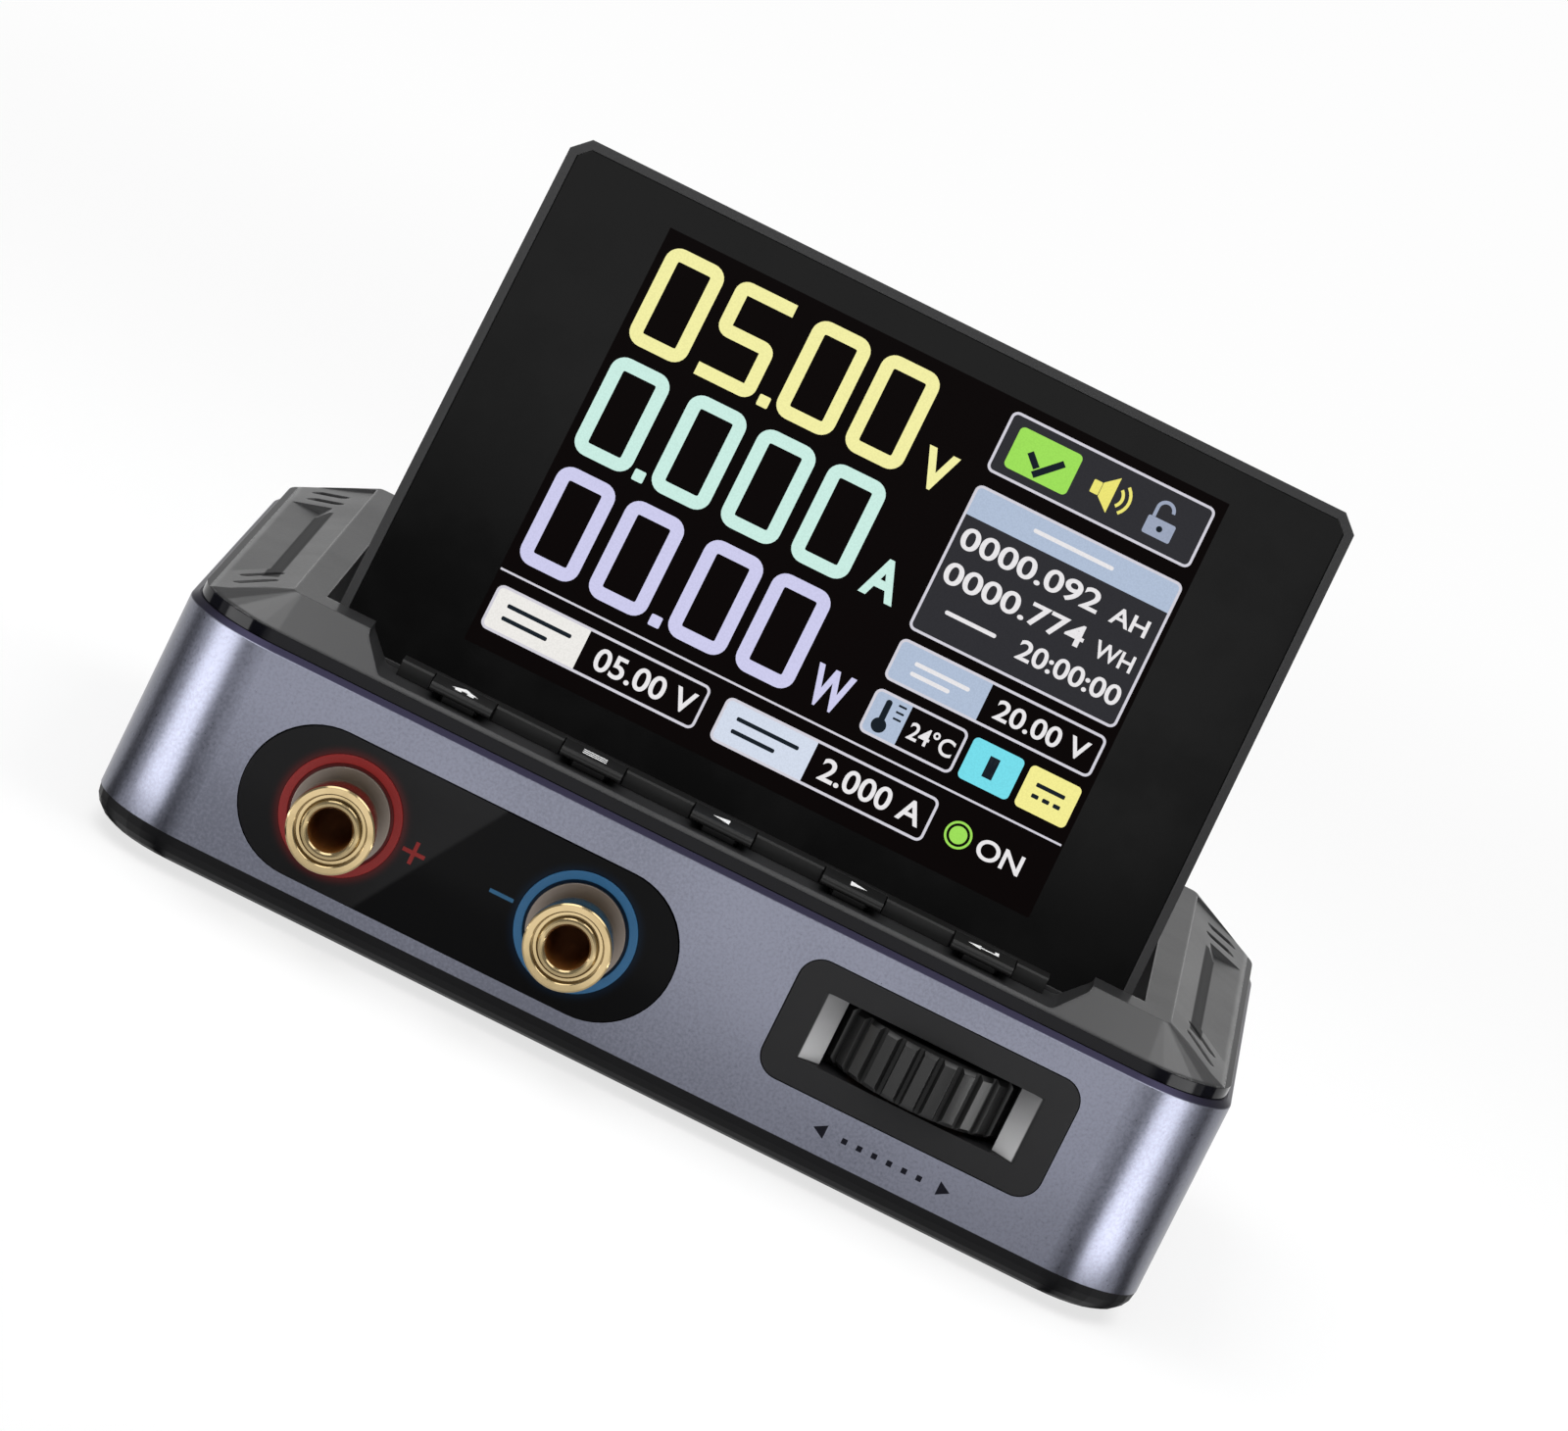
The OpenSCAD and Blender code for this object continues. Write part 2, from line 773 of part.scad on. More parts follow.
module red_ring() color("red") colour_ring(-1);
module blue_ring() color("steelblue") colour_ring(1);

// A socket is turned about its axis; heights in the outline run outward from the plate.
// A collar with a groove behind it stands at the end, with a round lip about the bore inside it
module jack(side) {
    tail = 1;
    neck_l = socket_reach * 0.47;
    deep = socket_reach - socket_depth;
    end = deep - 2;
    top = socket_reach;
    under = top - collar_t;
    collar_r = socket_r + collar_out;
    pit = top - 0.8;
    pit_r = collar_r - 0.8;
    lip_mid = socket_bore_r + socket_lip_r;
    lip = [for (turn = [0 : 30 : 180]) [
        lip_mid + socket_lip_r * cos(turn), top - socket_lip_r * (1 - sin(turn))]];
    lug_w = 3;
    color("darkkhaki") placed() {
        translate([socket_x(side), plate_face, socket_z]) rotate([90, 0, 0]) rotate_extrude() {
            polygon(concat([
                [0, end], [neck_r, end], [neck_r, neck_l], [socket_r - 0.2, neck_l],
                [socket_r, neck_l + 0.2], [socket_r, under - collar_groove],
                [socket_r - 0.4, under - collar_groove + 0.1], [socket_r - 0.4, under],
                [collar_r, under], [collar_r, top - 0.15], [collar_r - 0.15, top],
                [pit_r + 0.1, top], [pit_r, top - 0.1], [pit_r - 0.1, pit],
                [lip_mid + socket_lip_r, pit]], lip, [
                [socket_bore_r, deep], [0, deep]]));
        }
        translate([socket_x(side) - lug_w / 2, plate_face - end - eps, board_top]) {
            cube([lug_w, tail, socket_z + 1 - board_top]);
        }
    }
}

module positive_jack() jack(-1);
module negative_jack() jack(1);

module jack_washers() {
    color("silver") placed() for (side = [-1, 1]) {
        translate([socket_x(side), plate_face, socket_z]) rotate([90, 0, 0]) {
            ring(washer_r, neck_r + seat_gap, washer_t);
        }
    }
}

module jack_nuts() {
    color("goldenrod") placed() for (side = [-1, 1]) {
        translate([socket_x(side), front_y + frame_wall + flange_t, socket_z]) rotate([-90, 0, 0]) {
            difference() {
                cylinder(h = nut_t, r = nut_r, $fn = 6);
                translate([0, 0, -1]) cylinder(h = nut_t + 2, r = neck_r + seat_gap);
            }
        }
    }
}

// Thumb wheel: a grooved wheel on a carriage that slides back against a switch

// The slot's ends slope in towards the wheel, and widen again behind to clear it
module wheel_plate() {
    tub_h = wheel_slot_h + 2;
    ramp_w = wheel_slot_w / 2 - ramp_run;
    inner_w = wheel_slot_w / 2 - 1.65;
    depth = frame_wall + tub_l;
    color("darkslategray") placed() difference() {
        union() {
            upright(wheel_x, front_y, wheel_z, frame_wall) {
                rounded(wheel_plate_w, wheel_plate_h, wheel_plate_r);
            }
            upright(wheel_x, front_y + frame_wall, wheel_z, flange_t) {
                square([wheel_plate_w + 2 * flange_w, wheel_plate_h], center = true);
            }
            upright(wheel_x, front_y + frame_wall, wheel_z, tub_l) {
                square([wheel_slot_w + 2, tub_h], center = true);
            }
        }
        translate([wheel_x, front_y, wheel_z - wheel_slot_h / 2]) linear_extrude(wheel_slot_h) polygon([
            [-wheel_slot_w / 2, -1], [wheel_slot_w / 2, -1], [wheel_slot_w / 2, 0], [ramp_w, ramp_deep],
            [inner_w, depth], [inner_w, depth + 2], [-inner_w, depth + 2], [-inner_w, depth],
            [-ramp_w, ramp_deep], [-wheel_slot_w / 2, 0]]);
    }
}

module wheel_guide() {
    side_x = carriage_w / 2 + slide_gap;
    low = board_top;
    rail_top = carriage_z + carriage_t + slide_gap + rail_t;
    guide_front = board_front + 0.5;
    guide_back = carriage_back + guide_foot;
    color("dimgray") placed() translate([wheel_x, 0, 0]) {
        translate([-side_x - rail_w, guide_front, low]) {
            cube([2 * (side_x + rail_w), guide_back - guide_front, guide_t]);
        }
        for (side = [0, 1]) mirror([side, 0, 0]) {
            translate([side_x, guide_front, low]) {
                cube([rail_w, carriage_back - guide_front + 1, rail_top - low]);
            }
            translate([side_x - 1, guide_front, rail_top - rail_t]) {
                cube([1 + eps, carriage_back - guide_front + 1, rail_t]);
            }
        }
    }
}

module wheel_carriage() {
    color("whitesmoke") placed() translate([wheel_x, 0, 0]) difference() {
        union() {
            translate([-carriage_w / 2, carriage_front, carriage_z]) {
                cube([carriage_w, carriage_back - carriage_front, carriage_t]);
            }
            translate([0, wheel_y, carriage_z]) cylinder(h = boss_top - carriage_z, r = boss_r);
        }
        translate([0, wheel_y, carriage_z - 1]) cylinder(h = cut, r = axle_r + seat_gap);
    }
}

module wheel_axle() {
    low = carriage_z;
    cap = wheel_z + wheel_t / 2 + slide_gap;
    color("silver") placed() translate([wheel_x, wheel_y, 0]) {
        translate([0, 0, low]) cylinder(h = cap - low + eps, r = axle_r);
        translate([0, 0, cap]) cylinder(h = 0.5, r = axle_r + 0.9);
    }
}

module thumb_wheel() {
    r = wheel_d / 2;
    color("darkslategray") placed() translate([wheel_x, wheel_y, wheel_low]) difference() {
        rotate_extrude() polygon([
            [axle_r + shaft_gap, 0], [3, 0], [3.4, 0.5], [r - 2.6, 0.5], [r - 2.2, 0], [r - 0.4, 0],
            [r, 0.4], [r, wheel_t - 0.4], [r - 0.4, wheel_t], [r - 2.2, wheel_t],
            [r - 2.6, wheel_t - 0.5], [3.4, wheel_t - 0.5], [3, wheel_t], [axle_r + shaft_gap, wheel_t]]);
        for (i = [0 : wheel_grooves - 1]) rotate(i * 360 / wheel_grooves) {
            translate([r - grip_deep, 0, -1]) linear_extrude(wheel_t + 2) polygon([
                [0, -grip_w * 0.2], [1, -grip_w * 0.8], [1, grip_w * 0.8], [0, grip_w * 0.2]]);
        }
    }
}

// The encoder's contact ring round the carriage's boss, cut straight in front to clear the wheel plate
module encoder_ring() {
    base = carriage_z + carriage_t;
    front = wheel_y - front_y - frame_wall - tub_l - run_gap;
    color("tan") placed() translate([wheel_x, wheel_y, base]) difference() {
        ring(encoder_r, boss_r + slip_gap, boss_top - base);
        translate([-cut / 2, -front - cut, -1]) cube([cut, cut, cut]);
    }
}

module wheel_switch() {
    body_y = carriage_back + wheel_press + 0.9;
    low = board_top + guide_t;
    color("gray") placed() translate([wheel_x, 0, 0]) {
        translate([-press_switch_w / 2, body_y, low]) cube([press_switch_w, press_switch, press_switch]);
        along_y(0, body_y - 0.6, low + 1.4, 1.1, 0.6 + eps);
    }
}

// Main board and what stands on it

module main_board() {
    color("darkgreen") placed() difference() {
        translate([-board_w / 2, board_front, board_z]) {
            cube([board_w, board_back - board_front, board_t]);
        }
        translate([fan_x - fan_s / 2 - 0.6, fan_y - 0.6, board_z - 1]) cube([fan_s + 1.2, cut, 5]);
        at_corners(board_post_x, board_post_y) cylinder(h = cut, r = screw_r + 0.2);
    }
}

module board_screws() {
    color("silver") placed() {
        at_corners(board_post_x, board_post_y) translate([0, 0, board_top]) rotate([180, 0, 0]) {
            screw(2, 1.2, screw_r, board_top - floor_top - 0.5);
        }
        for (side = [-1, 1]) translate([side * small_post_x, small_board_y, small_board_z]) {
            screw(1.3, 0.6, 0.7, small_board_t + 1.8);
        }
    }
}

module heat_sink() {
    fins = 9;
    low = board_top + chip_h;
    color("silver") placed() translate([sink_x - sink_w / 2, sink_y - sink_l / 2, low]) {
        cube([sink_w, sink_l, sink_base]);
        for (i = [0 : fins - 1]) {
            translate([i * (sink_w - fin_t) / (fins - 1), 0, 0]) cube([fin_t, sink_l, tray_z - 0.5 - low]);
        }
    }
}

module power_transistors() {
    color("black") placed() for (x = [-0.5, 0.5], y = [-1, 0, 1]) {
        translate([sink_x + x * chip_pitch_x, sink_y + y * chip_pitch_y, board_top + chip_h / 2]) {
            cube([chip_w, chip_l, chip_h], center = true);
        }
    }
}

module power_inductor() {
    color("gray") placed() translate([inductor_x, inductor_y, board_top]) {
        linear_extrude(inductor_h) rounded(inductor_w, inductor_w, 2);
        translate([0, 0, inductor_h - eps]) cylinder(h = 0.6, r = inductor_w / 2 - 1.5);
    }
}

module capacitors() {
    r = can_r;
    h = can_h;
    color("darkslateblue") placed() for (i = [0 : 3]) {
        translate([can_x + i * can_pitch, can_y, board_top]) rotate_extrude() polygon([
            [0, 0], [r, 0], [r, 1], [r - 0.3, 1.4], [r, 1.8], [r, h - 0.5], [r - 0.5, h], [0, h]]);
    }
}

module current_shunt() {
    leg = 1.2;
    color("peru") placed() translate([shunt_x - shunt_l / 2, shunt_y - shunt_w / 2, board_top]) {
        for (x = [0, shunt_l - leg]) translate([x, 0, 0]) cube([leg, shunt_w, shunt_h]);
        translate([0, 0, shunt_h - shunt_t]) cube([shunt_l, shunt_w, shunt_t]);
    }
}

module control_chips() {
    color("black") placed() for (chip = [[-27, -6, 9], [3, 9, 7], [-18, 16, 6]]) {
        translate([chip.x, chip.y, board_top + flat_chip_t / 2]) {
            cube([chip.z, chip.z, flat_chip_t], center = true);
        }
    }
}

module buzzer() {
    hole_deep = 1.2;
    color("black") placed() translate([buzzer_x, buzzer_y, board_top]) difference() {
        cylinder(h = buzzer_h, r = buzzer_r);
        translate([0, 0, buzzer_h - hole_deep]) cylinder(h = 2, r = 0.9);
    }
}

// Back of the case: panel, fan and power inlets

module rear_panel() {
    slots = 6;
    slot_r = 7;
    color("black") placed() difference() {
        union() {
            upright(0, back_y - frame_wall, back_z, frame_wall) rounded(back_w, back_h, back_plate_r);
            upright(0, back_in, back_z, flange_t) {
                square([back_w + 2 * flange_w, back_h], center = true);
                translate([fan_x, 0]) square([fan_s, fan_s], center = true);
            }
        }
        for (i = [0 : slots]) {
            off = (i / slots - 0.5) * 2 * (slot_r - 0.7);
            half = sqrt(slot_r * slot_r - off * off);
            translate([fan_x + off - 0.65, back_in - 1, back_z - half]) cube([1.3, 6, 2 * half]);
        }
        for (x = [-1, 1], z = [-1, 1]) {
            translate([x * fan_hole, 0, z * fan_hole]) {
                along_y(fan_x, back_in - 1, back_z, fan_screw_r + shaft_gap, flange_t + 1);
            }
        }
        along_y(dc_x, back_in - 1, dc_z, dc_r + slip_gap, 6);
        upright(usb_x, back_in - 1, usb_z, 6) rounded(usb_w + 2 * run_gap, usb_h + 2 * run_gap, usb_h / 2);
        upright(micro_x, back_in - 1, board_top + micro_h / 2, 6) {
            rounded(micro_w + 2 * run_gap, micro_h + 2 * run_gap, 0.8);
        }
        for (i = [0 : 5]) {
            translate([micro_x - 1 + i * 2.6, back_in - 1, back_z + 1]) cube([1.2, 6, 4.5]);
        }
    }
}

module fan_frame() {
    color("black") placed() translate([fan_x, fan_y, back_z]) difference() {
        union() {
            difference() {
                upright(0, 0, 0, fan_t) rounded(fan_s, fan_s, 1.5);
                along_y(0, -1, 0, fan_bore_r, fan_t + 2);
            }
            along_y(0, 0, 0, fan_hub_r, fan_hub_t);
            along_y(0, 0, 0, fan_shaft_r, fan_t - 1.4);
            for (turn = [30, 150, 270]) rotate([0, turn, 0]) {
                translate([fan_hub_r - 1, 0, -0.6]) cube([fan_bore_r - fan_hub_r + 1.5, fan_hub_t, 1.2]);
            }
        }
        for (x = [-1, 1], z = [-1, 1]) along_y(x * fan_hole, -1, z * fan_hole, fan_screw_r + shaft_gap, cut);
    }
}

module fan_rotor() {
    hub_l = fan_t - fan_hub_t - 2 * slide_gap - 0.2;
    chord = 4.2;
    pitch = 38;
    color("gray") placed() translate([fan_x, fan_y + fan_hub_t + slide_gap, back_z]) difference() {
        union() {
            along_y(0, 0, 0, fan_hub_r - 0.3, hub_l);
            for (i = [0 : fan_blades - 1]) rotate([0, i * 360 / fan_blades, 0]) {
                translate([3, hub_l / 2, 0]) rotate([pitch, 0, 0]) {
                    translate([0, -chord / 2, -fan_blade_t / 2]) {
                        cube([fan_bore_r - 3.8, chord, fan_blade_t]);
                    }
                }
            }
        }
        along_y(0, -1, 0, fan_shaft_r + shaft_gap, fan_t - 1.4);
    }
}

module fan_screws() {
    color("silver") placed() for (x = [-1, 1], z = [-1, 1]) {
        translate([fan_x + x * fan_hole, fan_y, back_z + z * fan_hole]) rotate([-90, 0, 0]) {
            screw(1.2, 0.5, fan_screw_r, fan_t + flange_t - plate_gap);
        }
    }
}

module dc_jack() {
    nose = socket_back - back_in + 0.3;
    color("black") placed() difference() {
        union() {
            translate([dc_x - dc_body_w / 2, back_in - 0.3 - dc_body_l, board_top]) {
                cube([dc_body_w, dc_body_l, dc_body_h]);
            }
            along_y(dc_x, back_in - 0.3 - eps, dc_z, dc_r, nose + eps);
        }
        difference() {
            along_y(dc_x, socket_back - dc_depth, dc_z, dc_bore_r, dc_depth + 1);
            along_y(dc_x, socket_back - dc_depth - 1, dc_z, dc_pin_r, dc_depth - 0.2);
        }
    }
}

module usb_c_socket() {
    l = 7.4;
    color("silver") placed() {
        difference() {
            upright(usb_x, socket_back - l, usb_z, l) rounded(usb_w, usb_h, usb_h / 2 - eps);
            upright(usb_x, socket_back - l + 1, usb_z, l) {
                rounded(usb_w - 2 * shell_wall, usb_h - 2 * shell_wall, usb_h / 2 - shell_wall - eps);
            }
        }
        translate([usb_x - 3.35, socket_back - l + 1 - eps, usb_z - 0.35]) cube([6.7, 4.6, 0.7]);
    }
}

module micro_usb_socket() {
    l = 5.6;
    z = board_top + micro_h / 2;
    color("silver") placed() {
        difference() {
            upright(micro_x, socket_back - l, z, l) micro_outline(0);
            upright(micro_x, socket_back - l + 1, z, l) micro_outline(shell_wall);
        }
        translate([micro_x - 1.9, socket_back - l + 1 - eps, z + 0.1]) cube([3.8, 3.2, 0.6]);
    }
}

module micro_outline(in) {
    w = micro_w / 2 - in;
    h = micro_h / 2 - in;
    polygon([[-w, h], [-w, -h * 0.2], [-w + 1, -h], [w - 1, -h], [w, -h * 0.2], [w, h]]);
}

// Display: laid flat with the hinge axis as origin, then turned up to its open angle

module on_hinge() {
    translate([0, hinge_y + mid_y, hinge_z]) rotate([open_angle, 0, 0]) children();
}

module display_outline(in) {
    w = display_w / 2 - in;
    l = display_l - in;
    c = 1.6 - in * 0.6;
    polygon([[-w, 0], [w, 0], [w, l - c], [w - c, l], [-w + c, l], [-w, l - c]]);
}

module display_screw_places() {
    for (x = [-1, 1], y = [9, display_l - 5]) {
        translate([x * (cavity_x + 2.6), y, 0]) children();
    }
}

module back_recess(gap) {
    w = cavity_x + 4.6 + gap;
    low = barrel_r + 1.6 - gap;
    high = display_l - 1.6 + gap - 1;
    translate([-w, low, back_face - 1]) cube([2 * w, high - low, back_cover_t + 1]);
}

module display_housing() {
    edge = 1;
    color("black") on_hinge() difference() {
        union() {
            translate([0, 0, back_face]) linear_extrude(display_t) display_outline(0);
            along_x(-display_w / 2, 0, 0, barrel_r, display_w);
        }
        translate([0, 0, glass_low]) linear_extrude(cut) display_outline(rim);
        translate([-cavity_x, cavity_low, back_face + back_cover_t - 0.3]) {
            cube([2 * cavity_x, cavity_high - cavity_low, cut]);
        }
        translate([-cavity_x, barrel_r + 2.2, back_face - 1]) {
            cube([2 * cavity_x, cavity_high - barrel_r - 3.8, display_t]);
        }
        back_recess(slip_gap);
        translate([0, display_l, back_face]) rotate([45, 0, 0]) {
            cube([display_w + 2, edge * sqrt(2), edge * sqrt(2)], center = true);
        }
        for (side = [-1, 1]) {
            translate([side * display_w / 2, display_l / 2 + barrel_r, back_face]) rotate([0, 45, 0]) {
                cube([edge * sqrt(2), display_l, edge * sqrt(2)], center = true);
            }
            along_x(side * (display_w / 2 - 2.5) - 2.6, 0, 0, pin_r + shaft_gap, 5.2);
        }
        display_screw_places() translate([0, 0, back_face]) cylinder(h = 4.4, r = 0.75);
    }
}

module display_glass() {
    color("black") on_hinge() translate([0, 0, glass_low]) linear_extrude(glass_t) {
        difference() {
            display_outline(rim + 0.05);
            translate([0, -cut / 2]) square([2 * display_w, cut], center = true);
        }
    }
}

module lcd_panel() {
    color("gainsboro") on_hinge() translate([-cavity_x + 0.5, cavity_low + 0.3, glass_low - lcd_t]) {
        cube([2 * cavity_x - 1, cavity_high - cavity_low - 0.6, lcd_t]);
    }
}

module display_board() {
    t = 0.8;
    color("darkgreen") on_hinge() {
        translate([-cavity_x + 2, barrel_r + 3, glass_low - lcd_t - t]) {
            cube([2 * cavity_x - 4, display_l - barrel_r - 9, t]);
        }
    }
}

module display_back() {
    ribs = 5;
    color("black") on_hinge() difference() {
        intersection() {
            back_recess(0);
            translate([-cut * 2, 0, back_face]) cube([cut * 4, cut * 2, cut]);
        }
        display_screw_places() {
            translate([0, 0, back_face - 1]) cylinder(h = 4, r = 0.8);
            translate([0, 0, back_face - 1]) cylinder(h = 1.6, r = 1.5);
        }
        for (i = [1 : ribs]) {
            translate([-20, display_l * 0.62 + i * 2.2, back_face - 1]) cube([40, 0.9, 1.5]);
        }
    }
}

module display_screws() {
    color("silver") on_hinge() display_screw_places() translate([0, 0, back_face + 0.6]) {
        screw(1.4, 0.5, 0.7, 3.4);
    }
}

aluminium_frame();
bottom_cover();
rubber_feet();
case_screws();
trim_ring();
top_cover();
hinge_pins();
friction_washers();
button_strip();
home_key();
menu_key();
left_key();
right_key();
confirm_key();
button_board();
button_switches();
terminal_plate();
red_ring();
blue_ring();
positive_jack();
negative_jack();
jack_washers();
jack_nuts();
wheel_plate();
wheel_guide();
wheel_carriage();
wheel_axle();
thumb_wheel();
encoder_ring();
wheel_switch();
main_board();
board_screws();
heat_sink();
power_transistors();
power_inductor();
capacitors();
current_shunt();
control_chips();
buzzer();
rear_panel();
fan_frame();
fan_rotor();
fan_screws();
dc_jack();
usb_c_socket();
micro_usb_socket();
display_housing();
display_glass();
lcd_panel();
display_board();
display_back();
display_screws();
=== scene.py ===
"""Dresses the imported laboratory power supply: finishes, lit screen, printed marks, studio and camera."""

import json
import math

import bpy
from mathutils import Matrix, Vector


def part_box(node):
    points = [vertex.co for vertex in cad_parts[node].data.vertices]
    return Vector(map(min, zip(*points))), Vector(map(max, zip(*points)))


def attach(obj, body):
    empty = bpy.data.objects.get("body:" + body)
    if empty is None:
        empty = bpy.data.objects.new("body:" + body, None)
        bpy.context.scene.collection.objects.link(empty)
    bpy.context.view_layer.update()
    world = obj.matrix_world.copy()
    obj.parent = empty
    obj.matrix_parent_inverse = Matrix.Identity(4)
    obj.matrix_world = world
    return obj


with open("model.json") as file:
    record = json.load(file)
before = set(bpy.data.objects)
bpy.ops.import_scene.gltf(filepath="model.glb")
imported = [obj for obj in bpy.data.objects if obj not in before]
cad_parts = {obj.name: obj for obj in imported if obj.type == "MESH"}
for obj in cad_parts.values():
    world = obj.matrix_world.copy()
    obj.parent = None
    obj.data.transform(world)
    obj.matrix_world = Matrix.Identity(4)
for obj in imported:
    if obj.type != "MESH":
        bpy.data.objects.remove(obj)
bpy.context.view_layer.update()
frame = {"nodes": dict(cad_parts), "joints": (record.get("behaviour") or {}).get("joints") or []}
nodes = frame["nodes"]


def tone(red, green, blue):
    """A colour as a screen shows it, 0 to 255, made linear."""
    parts = [c / 255 for c in (red, green, blue)]
    return tuple(c / 12.92 if c < 0.04 else ((c + 0.055) / 1.055) ** 2.4 for c in parts) + (1.0,)


def shade(colour, by):
    return tuple(min(1.0, c * by) for c in colour[:3]) + (1.0,)


def clear_selection():
    bpy.ops.object.select_all(action="DESELECT")


def pick(piece):
    clear_selection()
    piece.select_set(True)
    bpy.context.view_layer.objects.active = piece


# Camera: a long lens, a little above the case, turned about its own line of sight


def stand_camera():
    """Placed and turned by the fit to the photograph; the angles are in degrees."""
    place = (-0.00133, -0.91816, 0.20122)
    heading, looks_down, roll = -0.12, 10.42, 26.35
    clear_selection()
    bpy.ops.object.camera_add()
    camera = bpy.context.object
    camera.name = "photo_camera"
    camera.data.sensor_width = 36
    camera.data.lens = 228.6
    camera.data.clip_start = 0.01
    camera.data.clip_end = 100
    camera.matrix_world = (
        Matrix.Translation(place)
        @ Matrix.Rotation(math.radians(heading), 4, "Z")
        @ Matrix.Rotation(math.radians(90 - looks_down), 4, "X")
        @ Matrix.Rotation(math.radians(roll), 4, "Z")
    )
    bpy.context.scene.camera = camera


# Finishes

BEVEL_SAMPLES = 6
BLACK, WHITE = (0.0, 0.0, 0.0, 1.0), (1.0, 1.0, 1.0, 1.0)


class Wire:
    """A shader socket that can be used in sums."""

    def __init__(self, finish, socket):
        self.finish = finish
        self.socket = socket

    def sum_with(self, operation, first, second):
        return self.finish.add("ShaderNodeMath", {"operation": operation}, {0: first, 1: second})

    def __add__(self, other):
        return self.sum_with("ADD", self, other)

    def __radd__(self, other):
        return self.sum_with("ADD", other, self)

    def __sub__(self, other):
        return self.sum_with("SUBTRACT", self, other)

    def __rsub__(self, other):
        return self.sum_with("SUBTRACT", other, self)

    def __mul__(self, other):
        return self.sum_with("MULTIPLY", self, other)

    def __rmul__(self, other):
        return self.sum_with("MULTIPLY", other, self)

    def __pow__(self, other):
        return self.sum_with("POWER", self, other)


class Finish:
    """A procedural material, read in the object's own coordinates."""

    def __init__(self, name):
        self.material = bpy.data.materials.new(name)
        self.material.use_nodes = True
        self.tree = self.material.node_tree
        self.tree.nodes.clear()
        self.shader = self.tree.nodes.new("ShaderNodeBsdfPrincipled")
        end = self.tree.nodes.new("ShaderNodeOutputMaterial")
        self.tree.links.new(self.shader.outputs[0], end.inputs[0])

    def add(self, kind, settings=None, sockets=None, out=0):
        node = self.tree.nodes.new(kind)
        for key, value in (settings or {}).items():
            setattr(node, key, value)
        for key, value in (sockets or {}).items():
            self.plug(node.inputs[key], value)
        return Wire(self, node.outputs[out])

    def plug(self, socket, value):
        if isinstance(value, Wire):
            self.tree.links.new(value.socket, socket)
        else:
            socket.default_value = value

    def set(self, **values):
        for key, value in values.items():
            self.plug(self.shader.inputs[key.replace("_", " ")], value)
        return self

    def place(self, stretch=(1, 1, 1)):
        coordinates = self.add("ShaderNodeTexCoord", out="Object")
        return self.add("ShaderNodeMapping", {}, {"Vector": coordinates, "Scale": stretch})

    def grain(self, size, detail=2.0, stretch=(1, 1, 1)):
        """Noise whose lumps are about size metres across, from 0 to 1."""
        return self.add("ShaderNodeTexNoise", {}, {
            "Vector": self.place(stretch), "Scale": 0.7 / size, "Detail": detail, "Roughness": 0.6})

    def step(self, value, low, high, to_low=0.0, to_high=1.0):
        """A soft step from to_low to to_high, between those two values."""
        return self.add("ShaderNodeMapRange", {"interpolation_type": "SMOOTHSTEP"}, {
            "Value": value, "From Min": low, "From Max": high, "To Min": to_low, "To Max": to_high})

    def fall(self, value, low, high):
        return self.step(value, low, high, 1.0, 0.0)

    def patches(self, size, detail, low, high):
        """Soft patches of 0 and 1, about size metres across."""
        return self.step(self.grain(size, detail), low, high)

    def blend(self, share, first, second):
        return self.add("ShaderNodeMix", {"data_type": "RGBA"}, {0: share, 6: first, 7: second}, out=2)

    def along(self, axis):
        return self.add("ShaderNodeSeparateXYZ", {}, {0: self.place()}, out=axis)

    def absolute(self, value):
        return self.add("ShaderNodeMath", {"operation": "ABSOLUTE"}, {0: value})

    def relief(self, height, depth, edge=0.0):
        sockets = {"Height": height, "Distance": depth, "Strength": 1.0}
        if edge:
            sockets["Normal"] = self.add("ShaderNodeBevel", {"samples": BEVEL_SAMPLES}, {"Radius": edge})
        return self.add("ShaderNodeBump", {}, sockets)

    def fed_by(self, name):
        """What the shader's input of that name takes now."""
        return Wire(self, self.shader.inputs[name].links[0].from_socket)

    def over(self, mask, colour, rough):
        """Another colour and roughness where the mask is 1."""
        base, dull = self.fed_by("Base Color"), self.fed_by("Roughness")
        return self.set(Base_Color=self.blend(mask, base, colour), Roughness=dull + mask * (rough - dull))

    def edges(self, radius):
        """1 along sharp edges, 0 on open faces."""
        soft = self.add("ShaderNodeBevel", {"samples": BEVEL_SAMPLES}, {"Radius": radius})
        plain = self.add("ShaderNodeNewGeometry", out="Normal")
        product = {"operation": "DOT_PRODUCT"}
        alike = self.add("ShaderNodeVectorMath", product, {0: soft, 1: plain}, out="Value")
        return self.fall(alike, 0.86, 0.99)

    def rays(self):
        """Camera, glossy and transmission rays, each 1 where the ray is of that kind."""
        names = ("Is Camera Ray", "Is Glossy Ray", "Is Transmission Ray")
        return [self.add("ShaderNodeLightPath", out=name) for name in names]

    def shine(self, level):
        self.shader.inputs["Specular IOR Level"].default_value = level
        return self

    def glow(self, colour, strength):
        self.plug(self.shader.inputs["Emission Color"], colour)
        self.shader.inputs["Emission Strength"].default_value = strength
        return self


def distance(across, up):
    """How far a point lies from an axis, from its two offsets."""
    return (across * across + up * up) ** 0.5


